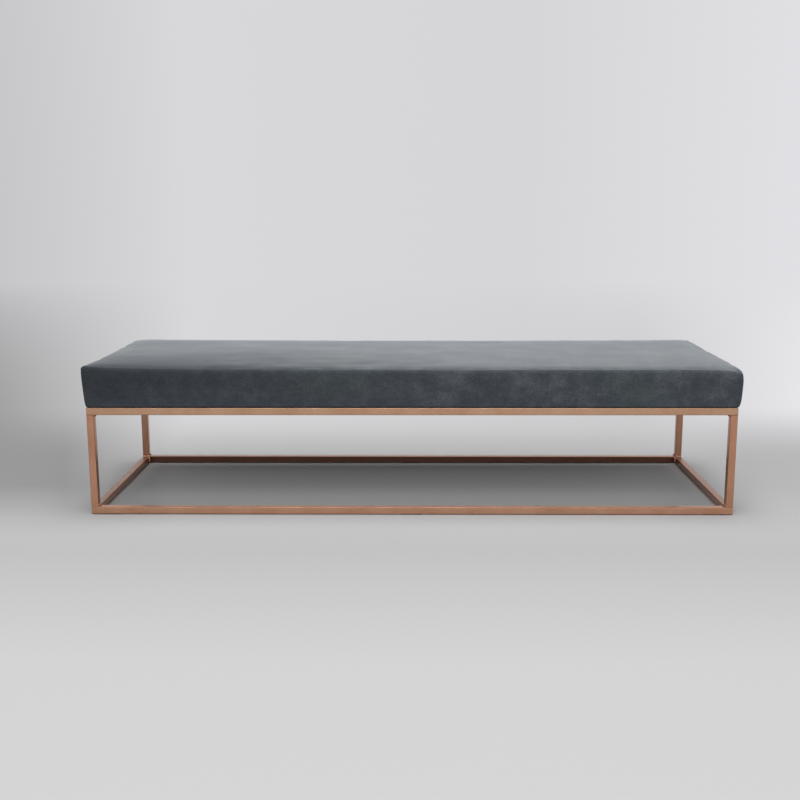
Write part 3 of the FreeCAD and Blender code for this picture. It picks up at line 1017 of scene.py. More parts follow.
@dataclass
class SteelFrame:
    """The welded frame of square tube: two mitred rings, four legs, crossbars and weld beads.

    Attributes:
        tube_size: the tube's outside width.
        bead: the weld bead that every joint gets.
        crossbars: the crossbars' node names.
        leg_foot: the height of the legs' lower ends.
        leg_head: the height of their upper ends.
        inner_x: from the origin to the legs' inner faces, along X.
        inner_y: the same along Y.
        centre_x: from the origin to their centre planes, along X.
        centre_y: the same along Y.
        ring_centres: the heights of the two rings' centre lines.
        bar_places: where along X the crossbars lie.
    """

    tube_size: float = 20 * MM
    bead: WeldBead = field(default_factory=WeldBead)
    crossbars: tuple[str, ...] = ("crossbar_1", "crossbar_2", "crossbar_3")
    leg_foot: float = field(init=False)
    leg_head: float = field(init=False)
    inner_x: float = field(init=False)
    inner_y: float = field(init=False)
    centre_x: float = field(init=False)
    centre_y: float = field(init=False)
    ring_centres: tuple[float, float] = field(init=False)
    bar_places: list[float] = field(init=False)

    def __post_init__(self) -> None:
        """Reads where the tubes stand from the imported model."""
        leg_low, leg_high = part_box("leg_rear_right")
        self.leg_foot = leg_low.z
        self.leg_head = leg_high.z
        self.inner_x = leg_low.x
        self.inner_y = leg_low.y
        self.centre_x = (leg_low.x + leg_high.x) / 2
        self.centre_y = (leg_low.y + leg_high.y) / 2
        self.ring_centres = (self.leg_foot - self.tube_size / 2, self.leg_head + self.tube_size / 2)
        self.bar_places = [sum(corner.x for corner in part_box(name)) / 2 for name in self.crossbars]

    def dress_tubes(self) -> None:
        """Gives every tube its copper finish, brushed along its length.

        Each group of tubes has its own tone for how light falls on it, so these are lit and shaded
        copies of one copper: the rear and end rails, in the pad's shade, are painted deeper.
        """
        lengthwise = (TubeRun.LENGTHWISE, ((self.centre_y,), self.ring_centres))
        crosswise = (TubeRun.CROSSWISE, ((self.centre_x,), self.ring_centres))
        upright = (TubeRun.UPRIGHT, ((self.centre_x,), (self.centre_y,)))
        bar_distances = tuple(sorted({round(abs(place), 4) for place in self.bar_places}))
        seat = {"tone": "CEA688", "deep_tone": "B88C6E"}
        base = {"tone": "D3A285", "deep_tone": "BC8A6B"}
        front = {"tone": "CC987C", "deep_tone": "B68164"}
        # The rear and end rails are painted deeper as shade, and so are their faces turned inwards.
        rear = {"tone": "B78A6F", "deep_tone": "A0755B", "inner_shade_tone": "865F50"}
        end = {"tone": "AC8067", "deep_tone": "9A7058", "inner_shade_tone": "AC8067"}
        for parts, finish in (
            (("seat_rail_front",), SatinCopper("seat_rail", *lengthwise, **seat)),
            (("base_rail_front",), SatinCopper("base_rail", *lengthwise, **base)),
            (("_rail_rear",), SatinCopper("shaded_rear_rail", *lengthwise, **rear)),
            (("_rail_left", "_rail_right"), SatinCopper("shaded_end_rail", *crosswise, **end)),
            (("leg_front",), SatinCopper("front_leg", *upright, **front)),
            (("leg_rear",), SatinCopper("leg", *upright)),
            (self.crossbars, SatinCopper("crossbar", TubeRun.CROSSWISE, (bar_distances, self.ring_centres))),
        ):
            material = finish.build()
            for name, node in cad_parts.items():
                if any(part in name for part in parts):
                    dress(node, material)

    def ring_joints(self, leg_end: float, ring_centre: float) -> Iterable[Corner]:
        """Lists one ring's weld corners.

        Args:
            leg_end: the height where the legs meet the ring.
            ring_centre: the height of the ring's centre line.

        Yields:
            The middle of each corner's line and the ways of its two legs.
        """
        along_leg = Vector((0, 0, math.copysign(1, leg_end - ring_centre)))
        for side_x in (-1, 1):
            for side_y in (-1, 1):
                inward_x = Vector((-side_x, 0, 0))
                inward_y = Vector((0, -side_y, 0))
                inner_x, inner_y = side_x * self.inner_x, side_y * self.inner_y
                yield Vector((inner_x, side_y * self.centre_y, leg_end)), inward_x, along_leg
                yield Vector((side_x * self.centre_x, inner_y, leg_end)), inward_y, along_leg
                yield Vector((inner_x, inner_y, ring_centre)), inward_x, inward_y

    def crossbar_joints(self) -> Iterable[Corner]:
        """Lists the crossbars' weld corners.

        Yields:
            The middle of each corner's line and the ways of its two legs.
        """
        for bar_x in self.bar_places:
            for side_y in (-1, 1):
                for side_x in (-1, 1):
                    face_x = bar_x + side_x * self.tube_size / 2
                    corner = Vector((face_x, side_y * self.inner_y, self.ring_centres[1]))
                    yield corner, Vector((side_x, 0, 0)), Vector((0, -side_y, 0))

    def weld(self, name: str, node: str, joints: Iterable[Corner], material: Material) -> None:
        """Sets a bead in each corner, all as one piece.

        Args:
            name: the piece's name.
            node: the CAD node it replaces.
            joints: the corners.
            material: the beads' material.
        """
        piece = join_copies(name, self.bead.build(), (self.bead.turn(*joint) for joint in joints))
        dress(piece, material)
        settle(piece, "weld_bead", node)

    def build(self) -> None:
        """Dresses the tubes and makes the welds."""
        self.dress_tubes()
        weld = PlatedWeld().build()
        low, high = self.ring_centres
        self.weld("base_ring_welds", "base_ring_beads", self.ring_joints(self.leg_foot, low), weld)
        self.weld("seat_ring_welds", "seat_ring_beads", self.ring_joints(self.leg_head, high), weld)
        self.weld("crossbar_welds", "crossbar_beads", self.crossbar_joints(), weld)


@dataclass
class FloorFelts:
    """The felt pads glued under the two long base rails.

    Attributes:
        length: a pad's length.
        width: a pad's width.
        end_distance: from the bench's end to the middle of the last pad.
        count: how many pads each rail has.
        corner_radius: the round of a pad's corners.
        rim_round: the soft round of its cut rim.
    """

    length: float = 60 * MM
    width: float = 15 * MM
    end_distance: float = 50 * MM
    count: int = 3
    corner_radius: float = 5 * MM
    rim_round: float = 0.6 * MM

    def pad(self, thickness: float) -> Object:
        """Models one pad on the origin, resting on the floor.

        Args:
            thickness: how thick the felt is.

        Returns:
            The pad, to be copied.
        """
        deselect_all()
        bpy.ops.mesh.primitive_cube_add(size=1, location=(0, 0, thickness / 2))
        pad = bpy.context.object
        pad.scale = (self.length, self.width, thickness)
        bpy.ops.object.transform_apply(location=True, rotation=True, scale=True)
        bpy.ops.object.mode_set(mode="EDIT")
        self.select_edges(pad, upright=True)
        bpy.ops.mesh.bevel(offset=self.corner_radius, segments=5, affect="EDGES")
        self.select_edges(pad, upright=False)
        bpy.ops.mesh.bevel(offset=self.rim_round, segments=3, affect="EDGES")
        bpy.ops.object.mode_set(mode="OBJECT")
        bpy.ops.object.shade_smooth_by_angle(angle=math.radians(50))
        return pad

    def select_edges(self, pad: Object, upright: bool) -> None:
        """Selects a pad's upright edges, or else its level rims, in edit mode.

        Args:
            pad: the pad, in edit mode.
            upright: which of the two.
        """
        bpy.ops.mesh.select_mode(type="EDGE")
        bpy.ops.mesh.select_all(action="DESELECT")
        bpy.ops.object.mode_set(mode="OBJECT")
        mesh = pad.data
        for edge in mesh.edges:
            first, second = (mesh.vertices[number].co for number in edge.vertices)
            stands = abs(first.z - second.z) > TOUCH
            edge.select = stands if upright else not stands
        bpy.ops.object.mode_set(mode="EDIT")

    def build(self) -> None:
        """Makes all the pads as one piece."""
        low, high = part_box("felt_pads")
        leg_low, leg_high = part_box("leg_rear_right")
        reach_x = leg_high.x - self.end_distance
        reach_y = (leg_low.y + leg_high.y) / 2
        turns = [
            Matrix.Translation((place_x, side_y * reach_y, low.z))
            for side_y in (-1, 1)
            for place_x in np.linspace(-reach_x, reach_x, self.count)
        ]
        piece = join_copies("felt_floor_pads", self.pad(high.z - low.z), turns)
        dress(piece, WoolFelt().build())
        settle(piece, "felt", "felt_pads")


# Seat pad


@dataclass(frozen=True)
class Ear:
    """A dent or a swelling at one top corner of the pad.

    Attributes:
        side_x: which end of the bench, -1 or 1.
        side_y: front -1 or rear 1.
        out: how far the corner is pushed out, both ways.
        rise: how far it is pushed up.
        reach: how far round the corner that shows.
    """

    side_x: int
    side_y: int
    out: float
    rise: float
    reach: float = 17 * MM


@dataclass
class SlabForm:
    """The soft form of the seat pad, which its cover, wadding and foam share.

    Attributes:
        half_length: half its widest length.
        half_depth: half its widest depth.
        foot: the height of its underside.
        top: the height of its top along the edges.
        round_radius: the round of its edges and corners.
        slope: how far the sides lean in from the shoulder to the foot.
        turn_in: how much further they turn in close above the foot.
        hollow: how far the sides are pulled flat before they swell.
        draw_in: how far the sides pull in between the corners.
        bag: how much fuller the right end hangs above its foot than the left.
        crown: how far the middle of the top stands above its edges before it swells.
        end_crown: the share of that crown left at the two ends.
        tilt: how much higher the front edge is than the middle, and the rear edge lower.
        end_lift: how much fuller the left end is than the right.
        saddle: how much higher the rear corners are than the rear edge's middle.
        corner_lift: how far the front left corner is stuffed up above its edges.
        corner_reach: how far round that corner the stuffing shows.
        ears: the dents and swellings at its top corners.
    """

    half_length: float
    half_depth: float
    foot: float
    top: float
    round_radius: float = 7 * MM
    slope: float = 6 * MM
    turn_in: float = 2.4 * MM
    hollow: float = 0.7 * MM
    draw_in: float = 2.5 * MM
    bag: float = 3.4 * MM
    crown: float = 2.5 * MM
    end_crown: float = 0.8
    tilt: float = 1.25 * MM
    end_lift: float = 2 * MM
    saddle: float = 2.5 * MM
    corner_lift: float = 9 * MM
    corner_reach: float = 115 * MM
    ears: tuple[Ear, ...] = (
        Ear(-1, -1, -1.5 * MM, -1.0 * MM),
        Ear(1, -1, -1.5 * MM, -6.0 * MM),
        Ear(1, -1, 0.0, -2.8 * MM, reach=70 * MM),
        Ear(-1, 1, -2.0 * MM, -5.0 * MM),
        Ear(1, 1, -3.0 * MM, -5.0 * MM),
    )

    def inside(self, skin: float, foot: float) -> "SlabForm":
        """Returns the form that lies under a skin of this one.

        Args:
            skin: how much is taken off every face.
            foot: the height of the new form's underside.
        """
        return replace(
            self,
            half_length=self.half_length - skin,
            half_depth=self.half_depth - skin,
            foot=foot,
            top=self.top - skin,
            round_radius=max(self.round_radius - skin, 3 * MM),
        )

    def widest(self) -> np.ndarray:
        """Returns half its length and half its depth."""
        return np.array([self.half_length, self.half_depth])

    def share_up(self, points: np.ndarray) -> np.ndarray:
        """Returns how far up the side each point is, 0 at the foot and 1 at the top's edge."""
        return (points[:, 2] - self.foot) / (self.top - self.foot)

    def narrowing(self, rise: np.ndarray) -> np.ndarray:
        """Works out how much narrower each side is than at the shoulder.

        Args:
            rise: the height as a share of the way from foot to shoulder.

        Returns:
            The distance, for each height.
        """
        drop = 1 - rise
        return self.slope * drop**1.5 + self.turn_in * drop**12 + self.hollow * np.sin(math.pi * rise)

    def stations(self, half: float, close: Sequence[float], cell: float) -> np.ndarray:
        """Places the grid's lines across the slab.

        Args:
            half: half the slab's width.
            close: distances in from each edge of its close lines, the first one 0.
            cell: about how far apart the lines between are.

        Returns:
            The lines' places, from -half to half.
        """
        inner = half - close[-1]
        middle = np.linspace(-inner, inner, max(2, round(2 * inner / cell)) + 1)
        edge = half - np.array(close[:-1])
        return np.concatenate([-edge, middle, edge[::-1]])

    def surface(self, spot: np.ndarray, depth: np.ndarray, tuck: np.ndarray) -> np.ndarray:
        """Works out points of the form.

        Args:
            spot: for each point, its x and y on the widest rectangle.
            depth: how far it lies below the top edge.
            tuck: how far it is turned in under the foot.

        Returns:
            One row of x, y and z for each point.
        """
        side = self.top - self.foot
        rise = np.clip((side - depth) / (side - self.round_radius), 0, 1)
        widest = self.widest()
        reach = widest - (self.narrowing(rise) + tuck)[:, None]
        flat = spot * reach / widest
        radius = np.maximum(self.round_radius - tuck, 0)
        limit = reach - radius[:, None]
        core = np.clip(flat, -limit, limit)
        height = self.top - depth
        core_height = np.minimum(height, self.top - self.round_radius)
        out = np.column_stack([flat - core, height - core_height])
        size = np.linalg.norm(out, axis=1)
        out /= np.where(size > 0, size, 1)[:, None]
        points = np.column_stack([core, core_height]) + out * radius[:, None]
        return self.settle_form(points)

    def settle_form(self, points: np.ndarray) -> np.ndarray:
        """Gives the plain form its drawn-in sides, crown and uneven heights.

        High powers of a place's share of the length keep what happens at an end close to it.

        Args:
            points: points of the plain form.

        Returns:
            The points, moved.
        """
        side_x, side_y = points[:, 0] / self.half_length, points[:, 1] / self.half_depth
        share_x, share_y = np.abs(side_x), np.abs(side_y)
        up = np.clip(self.share_up(points), 0, 1)
        pull = self.draw_in * np.sqrt(up)
        moved = points.copy()
        moved[:, 0] -= np.sign(side_x) * pull * (1 - share_y**2) * share_x**24
        moved[:, 0] += self.bag * np.sin(math.pi * up**0.45) * np.maximum(side_x, 0) ** 24
        moved[:, 1] -= np.sign(side_y) * pull * (1 - share_x**2) * share_y**4
        crown = self.crown * (1 - (1 - self.end_crown) * share_x**12) * (1 - np.minimum(share_y, 1) ** 2.2)
        corner = np.linalg.norm(self.widest() + points[:, :2], axis=1)
        lift = self.corner_lift * np.exp(-corner / self.corner_reach) - self.tilt * side_y
        lift += self.end_lift * smooth_step(-side_x) + self.saddle * share_x**3 * smooth_step(side_y)
        moved[:, 2] += up * lift + up**4 * crown
        for ear in self.ears:
            tip = np.array([ear.side_x * self.half_length, ear.side_y * self.half_depth, self.top])
            near = np.exp(-((np.linalg.norm(points - tip, axis=1) / ear.reach) ** 2))
            moved += near[:, None] * np.array([ear.out * ear.side_x, ear.out * ear.side_y, ear.rise])
        return moved

    def mesh(
        self,
        name: str,
        close: Sequence[float],
        cell: float,
        rows: Sequence[tuple[float, float]],
        closed: bool = False,
    ) -> Object:
        """Makes the form as a grid over its top with rows down its sides.

        Args:
            name: the object's name.
            close: distances in from each edge of the grid's close lines.
            cell: about how far apart the other lines are.
            rows: each row's depth below the top edge and its tuck under the foot.
            closed: whether the underside is closed by a grid of its own.

        Returns:
            The new object.
        """
        across = self.stations(self.half_length, close, cell)
        along = self.stations(self.half_depth, close, cell)
        count_x, count_y = len(across), len(along)
        grid = np.array([(x, y) for y in along for x in across])
        rim = list(range(count_x - 1))
        rim += [row * count_x + count_x - 1 for row in range(count_y - 1)]
        rim += [(count_y - 1) * count_x + number for number in range(count_x - 1, 0, -1)]
        rim += [row * count_x for row in range(count_y - 1, 0, -1)]
        layers = [np.column_stack([grid, np.zeros((len(grid), 2))])]
        faces = grid_faces(count_x, count_y)
        upper = rim
        start = len(grid)
        for row in rows:
            layers.append(np.column_stack([grid[rim], np.tile(row, (len(rim), 1))]))
            lower = list(range(start, start + len(rim)))
            for place, number in enumerate(lower):
                after = (place + 1) % len(rim)
                faces.append((upper[place], number, lower[after], upper[after]))
            upper = lower
            start += len(rim)
        if closed:
            inner = sorted(set(range(len(grid))) - set(rim))
            layers.append(np.column_stack([grid[inner], np.tile(rows[-1], (len(inner), 1))]))
            under = dict(zip(rim, upper))
            under.update({number: start + place for place, number in enumerate(inner)})
            for face in grid_faces(count_x, count_y, down=True):
                faces.append(tuple(under[number] for number in face))
        laid = np.concatenate(layers)
        return mesh_piece(name, self.surface(laid[:, :2], laid[:, 2], laid[:, 3]), faces)


@dataclass
class CornerPleat:
    """The fold that takes up the cover's fullness beside one upright corner of the pad.

    Attributes:
        side_x: which end of the bench, -1 or 1.
        side_y: front -1 or rear 1.
        distance: from the end to the fold, at the foot.
        slant: how much further in the fold is at the top.
        height: how far up it reaches, as a share of the side.
        fade: over how much of the side it runs out at its top.
        lip: how far the cloth stands up along the fold.
        lip_edge: how sharply it drops into the fold.
        lip_reach: how far it reaches away from the fold.
        groove: the fold's depth.
        groove_width: half its width.
        crease: the depth of a second, shallower fold.
        crease_width: half its width.
        crease_distance: how much further in that one is, at the foot.
    """

    side_x: int
    side_y: int
    distance: float
    slant: float
    height: float
    fade: float = 0.12
    lip: float = 1.0 * MM
    lip_edge: float = 1.2 * MM
    lip_reach: float = 7 * MM
    groove: float = 1.1 * MM
    groove_width: float = 0.9 * MM
    crease: float = 0.5 * MM
    crease_width: float = 1.8 * MM
    crease_distance: float = 6 * MM

    def relief(self, past: np.ndarray, up: np.ndarray) -> np.ndarray:
        """Works out the fold's shape across it.

        Args:
            past: how far in past the fold each point is.
            up: how far up the side, as a share of it.

        Returns:
            How far each point moves out.
        """
        lip = self.lip * smooth_step(0.5 - past / self.lip_edge)
        lip *= np.exp(np.minimum(past, 0) / self.lip_reach)
        groove = self.groove * np.exp(-((past / self.groove_width) ** 2))
        beyond = past - self.crease_distance * (1 - 0.5 * up)
        crease = self.crease * np.exp(-((beyond / self.crease_width) ** 2))
        return lip - groove - crease


# The cover in the simulation: the steps of each frame, a point's mass in kg, and its stiffness.
VELVET_CLOTH = {
    "quality": 5,
    "mass": 0.3,
    "tension_stiffness": 15,
    "compression_stiffness": 15,
    "shear_stiffness": 5,
    "bending_stiffness": 0.5,
    "use_pressure": True,
}


@dataclass
class SeatPad:
    """The upholstered pad: foam core, wadding and the velvet cover with its folded corners.

    Attributes:
        cover_thickness: the velvet with its pile.
        wadding_thickness: the wadding.
        flap: how far the cover runs in under the board.
        foot_radius: the round where it turns under.
        clearance: the room between the layers.
        crown: how far the cover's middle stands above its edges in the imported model.
        pressure: the push of the stuffing on the cover.
        hold: how firmly the foam holds each point of the cover, from 0 to 1.
        unevenness: how much that differs from place to place, as a share of it.
        grip: how far up from the foot the cover is held still.
        grip_fade: how far above that it is let go.
        frames: how many steps the swelling takes.
        cap: how far a point of the cover may move.
        cell: the cover's grid before it is subdivided.
        close: distances in from each edge of that grid's close lines.
        filling_cell: the grid of the wadding and the foam.
        filling_close: distances in from each edge of its close lines.
        side_rows: the rows down a side, each as a share of the way to the foot.
        turn_rows: the rows round the foot, in degrees.
        flap_rows: the rows in under the foot, each as a share of the way.
        pleats: the folds beside its upright corners.
        pucker: the height of the small ridges at its top corners.
        pucker_reach: how far out from the corner they are highest.
        pucker_inset: how far in from the form's corner they start.
        pucker_count: how many there are to a full turn.
        waves: the height, size and shift of the slow waves of the whole cover.
        edge_waves: the same of the unevenness along the top edge.
        edge_band: how far from the edge that shows.
        pull: the depth of the pull marks above the staples.
        pull_pitch: how far apart they are.
        pull_height: how far up the side they reach, as a share of it.
        form: the form of the cover before it swells.
    """

    cover_thickness: float = 1.2 * MM
    wadding_thickness: float = 6 * MM
    flap: float = 50 * MM
    foot_radius: float = 2.8 * MM
    clearance: float = 0.8 * MM
    crown: float = 5 * MM
    pressure: float = 4.0
    hold: float = 0.25
    unevenness: float = 0.12
    grip: float = 3 * MM
    grip_fade: float = 14 * MM
    frames: int = 20
    cap: float = 5 * MM
    cell: float = 16 * MM
    close: tuple[float, ...] = tuple(
        millimetres * MM for millimetres in (0.0, 1.8, 3.6, 5.4, 7.2, 9, 11, 14, 18, 24, 33)
    )
    filling_cell: float = 26 * MM
    filling_close: tuple[float, ...] = (0.0, 2 * MM, 5 * MM, 9 * MM, 16 * MM, 28 * MM)
    side_rows: tuple[float, ...] = (
        0.018, 0.042, 0.075, 0.115, 0.18, 0.26, 0.36, 0.47, 0.58, 0.69, 0.79, 0.87, 0.93, 0.97, 1.0
    )
    turn_rows: tuple[int, ...] = (30, 60, 90)
    flap_rows: tuple[float, ...] = (0.12, 0.3, 0.55, 0.8, 1.0)
    pleats: tuple[CornerPleat, ...] = (
        CornerPleat(-1, -1, 6.5 * MM, 3.5 * MM, 0.8),
        CornerPleat(1, -1, 5.5 * MM, 1.5 * MM, 0.92),
        CornerPleat(-1, 1, 7 * MM, 1.0 * MM, 0.9),
        CornerPleat(1, 1, 6 * MM, 2.0 * MM, 0.86),
    )
    pucker: float = 0.45 * MM
    pucker_reach: float = 7 * MM
    pucker_inset: float = 5 * MM
    pucker_count: int = 9
    waves: tuple[tuple[float, ...], ...] = (
        (0.25 * MM, 220 * MM, 3.1),
        (0.07 * MM, 70 * MM, 8.7),
    )
    edge_waves: tuple[float, ...] = (1.4 * MM, 45 * MM, 5.3)
    edge_band: float = 20 * MM
    pull: float = 0.7 * MM
    pull_pitch: float = 55 * MM
    pull_height: float = 0.3
    form: SlabForm = field(init=False)

    def __post_init__(self) -> None:
        """Reads the pad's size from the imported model."""
        low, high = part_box("velvet_cover")
        self.form = SlabForm(high.x, high.y, low.z, high.z - self.crown)

    def rows(self, form: SlabForm, flap: float) -> list[tuple[float, float]]:
        """Lists the rows down a form's side and in under its foot.

        Args:
            form: the form.
            flap: how far the rows run in under the foot, 0 for none.

        Returns:
            Each row's depth below the top edge and its tuck.
        """
        side = form.top - form.foot
        straight = side - self.foot_radius
        rows = [(straight * share, 0.0) for share in self.side_rows]
        if flap:
            for degrees in self.turn_rows:
                angle = math.radians(degrees)
                drop = straight + self.foot_radius * math.sin(angle)
                rows.append((drop, self.foot_radius * (1 - math.cos(angle))))
            for share in self.flap_rows:
                rows.append((side, self.foot_radius + (flap - self.foot_radius) * share))
        return rows

    def swell_cover(self, cover: Object) -> None:
        """Swells the cover by simulation, with the turned-under cloth held, and keeps the result.

        Args:
            cover: the cover before it is subdivided.
        """
        rest = read_rows(cover.data.vertices, "co")
        held = cover.vertex_groups.new(name="held")
        grip = 1 - smooth_step((rest[:, 2] - self.form.foot - self.grip) / self.grip_fade)
        stuffing = self.hold * (1 + self.unevenness * noise_at(rest, size=110 * MM, shift=6.4))
        for number, weight in enumerate(np.maximum(grip, stuffing)):
            held.add([number], float(weight), "REPLACE")
        cloth = cover.modifiers.new("Swell", "CLOTH")
        for name, value in VELVET_CLOTH.items():
            setattr(cloth.settings, name, value)
        cloth.settings.vertex_group_mass = held.name
        cloth.settings.uniform_pressure_force = self.pressure
        cloth.settings.effector_weights.gravity = 0
        cloth.point_cache.frame_start = 1
        cloth.point_cache.frame_end = self.frames
        scene = bpy.context.scene
        for step in range(1, self.frames + 1):
            scene.frame_set(step)
        swollen = cover.evaluated_get(bpy.context.evaluated_depsgraph_get())
        moved = read_rows(swollen.data.vertices, "co") - rest
        cover.modifiers.remove(cloth)
        scene.frame_set(1)
        size = np.linalg.norm(moved, axis=1)
        LOG.info("cover moved %.1f mm on average, %.1f mm at most", size.mean() * 1000, size.max() * 1000)
        limit = self.cap * np.tanh(size / self.cap)
        moved *= (limit / np.maximum(size, 1e-9))[:, None]
        write_points(cover.data, rest + moved)

    def press(self, cover: Object, relief: Callable[[np.ndarray, np.ndarray], np.ndarray]) -> None:
        """Moves the cover's points along their normals.

        Args:
            cover: the subdivided cover.
            relief: gives how far each point moves, from the points and their normals.
        """
        points = read_rows(cover.data.vertices, "co")
        normals = read_rows(cover.data.vertex_normals, "vector")
        write_points(cover.data, points + normals * relief(points, normals)[:, None])

    def folds(self, points: np.ndarray, normals: np.ndarray) -> np.ndarray:
        """Works out the upright pleats beside the corners and the puckers above them.

        Args:
            points: the cover's points.
            normals: its normals.

        Returns:
            How far each point moves along its normal.
        """
        up = self.form.share_up(points)
        narrow = self.form.narrowing(np.clip(up, 0, 1))
        move = np.zeros(len(points))
        for pleat in self.pleats:
            here = (points[:, 0] * pleat.side_x > 0) & (points[:, 1] * pleat.side_y > 0)
            # The fold lies on the long side only and fades out round the corner.
            facing = smooth_step((normals[:, 1] * pleat.side_y - 0.35) / 0.4)
            inward = self.form.half_length - narrow - points[:, 0] * pleat.side_x
            past = inward - pleat.distance - pleat.slant * up
            fade = smooth_step((pleat.height - up) / pleat.fade) * smooth_step((up + 0.02) / 0.05)
            move += here * facing * fade * pleat.relief(past, up)
        return move + self.puckers(points, normals)

    def puckers(self, points: np.ndarray, normals: np.ndarray) -> np.ndarray:
        """Works out the small ridges that run out from the pad's top corners.

        Args:
            points: the cover's points.
            normals: its normals.

        Returns:
            How far each point moves along its normal.
        """
        move = np.zeros(len(points))
        heart = np.array([*(self.form.widest() - self.pucker_inset), self.form.top])
        for side_x in (-1, 1):
            for side_y in (-1, 1):
                local = points * np.array([side_x, side_y, 1]) - heart
                distance = np.linalg.norm(local, axis=1)
                ridges = np.zeros(len(points))
                for facing, first, second in ((0, 1, 2), (1, 0, 2), (2, 0, 1)):
                    angle = np.arctan2(local[:, second], local[:, first])
                    fan = np.cos(self.pucker_count * angle + side_x + 2 * side_y)
                    ridges += normals[:, facing] ** 2 * fan
                reach = distance / self.pucker_reach
                move += self.pucker * ridges * reach * np.exp(1 - reach)
        return move

    def waviness(self, points: np.ndarray, normals: np.ndarray) -> np.ndarray:
        """Works out the slow waves, uneven edges and the pull marks above the staples.

        Args:
            points: the cover's points.
            normals: its normals.

        Returns:
            How far each point moves along its normal.
        """
        up = np.clip(self.form.share_up(points), 0, 1)
        # Close above its foot the cover is held still.
        free = smooth_step(up / 0.25)
        waves = sum(height * noise_at(points, size, shift) for height, size, shift in self.waves)
        edge_gap = np.min(self.form.widest() - np.abs(points[:, :2]), axis=1)
        from_edge = np.hypot(np.maximum(edge_gap, 0), self.form.top - points[:, 2])
        height, size, shift = self.edge_waves
        edges = height * noise_at(points, size, shift) * np.exp(-((from_edge / self.edge_band) ** 2))
        # The pull marks follow one another along whichever side a point is on.
        along = np.where(np.abs(normals[:, 1]) > 0.7, points[:, 0], points[:, 1])
        drift = 1.5 * noise_at(points, size=120 * MM, shift=1.9)
        pulls = 0.5 + 0.5 * np.cos(2 * math.pi * along / self.pull_pitch + drift)
        marks = -self.pull * pulls * smooth_step(1 - up / self.pull_height) * smooth_step(up / 0.06)
        return free * (waves + edges) + marks

    def make_cover(self) -> None:
        """Makes the velvet cover."""
        cover = self.form.mesh("velvet_cushion", self.close, self.cell, self.rows(self.form, self.flap))
        self.swell_cover(cover)
        apply_modifier(cover, "SUBSURF", levels=1, render_levels=1)
        self.press(cover, self.waviness)
        self.press(cover, self.folds)
        apply_modifier(cover, "SOLIDIFY", thickness=self.cover_thickness, offset=-1.0)
        dress(cover, SlateVelvet().build())
        settle(cover, "velvet", "velvet_cover")

    def make_filling(self) -> None:
        """Makes the wadding and the foam core."""
        under = self.form.inside(self.cover_thickness + self.clearance, self.form.foot + self.cover_thickness)
        grid = (self.filling_close, self.filling_cell)
        wadding = under.mesh("wadding_layer", *grid, self.rows(under, 0))
        thickness = self.wadding_thickness - 2 * self.clearance
        apply_modifier(wadding, "SOLIDIFY", thickness=thickness, offset=-1.0)
        dress(wadding, BondedWadding().build())
        settle(wadding, "wadding", "wadding_wrap")
        skin = self.cover_thickness + self.wadding_thickness
        board_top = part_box("seat_board")[1].z
        inner = self.form.inside(skin, board_top)
        rows = self.rows(inner, 0) + [(inner.top - board_top, 0.0)]
        foam = inner.mesh("foam_core", *grid, rows, closed=True)
        dress(foam, CutFoam().build())
        settle(foam, "foam", "foam_block")

    def build(self) -> None:
        """Makes the whole pad."""
        self.make_cover()
        self.make_filling()


# Underside and fixings


@dataclass
class DustCover:
    """The non-woven cloth stapled under the board, slack between the crossbars.

    Attributes:
        sag: how far it hangs between its supports.
        rim: how far in from its edge it is held.
        bar_fade: how far from a crossbar it reaches most of that sag.
        rail_fade: the same from a rail.
        fold: the height of the small folds between staples.
        fold_pitch: how far apart they are.
        fold_reach: how far in from the rails they run.
        cell: its grid.
    """

    sag: float = 3 * MM
    rim: float = 24 * MM
    bar_fade: float = 45 * MM
    rail_fade: float = 60 * MM
    fold: float = 0.35 * MM
    fold_pitch: float = 54 * MM
    fold_reach: float = 40 * MM
    cell: float = 14 * MM

    def build(self) -> None:
        """Makes the sheet with its sag and the small folds between staples."""
        low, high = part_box("dust_cover")
        thickness = high.z - low.z
        across = np.linspace(low.x, high.x, round((high.x - low.x) / self.cell) + 1)
        along = np.linspace(low.y, high.y, round((high.y - low.y) / self.cell) + 1)
        spots = np.array([(x, y) for y in along for x in across])
        bars = [sum(corner.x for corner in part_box(name)) / 2 for name in SteelFrame.crossbars]
        half_bar = (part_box("crossbar_1")[1].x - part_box("crossbar_1")[0].x) / 2
        gaps = [high.x - self.rim - np.abs(spots[:, 0])]
        gaps += [np.abs(spots[:, 0] - bar) - half_bar for bar in bars]
        from_bars = np.maximum(np.min(gaps, axis=0), 0)
        from_rails = np.maximum(high.y - self.rim - np.abs(spots[:, 1]), 0)
        hang = self.sag * (1 - np.exp(-from_bars / self.bar_fade))
        hang *= 1 - np.exp(-from_rails / self.rail_fade)
        flat = np.column_stack([spots, np.zeros(len(spots))])
        hang *= 1 + 0.25 * noise_at(flat, size=90 * MM, shift=4.2)
        folds = self.fold * np.sin(2 * math.pi * spots[:, 0] / self.fold_pitch)
        folds *= np.exp(-from_rails / self.fold_reach)
        folds = np.minimum(folds + self.fold, from_bars * 0.1)
        hang += np.where((from_rails > 0) & (from_bars > 0), folds, 0)
        points = np.column_stack([spots, low.z + thickness - hang])
        faces = grid_faces(len(across), len(along))
        sheet = mesh_piece("dust_cover_cloth", points, faces)
        apply_modifier(sheet, "SOLIDIFY", thickness=thickness, offset=-1.0)
        dress(sheet, SpunbondCloth().build())
        settle(sheet, "non_woven", "dust_cover")


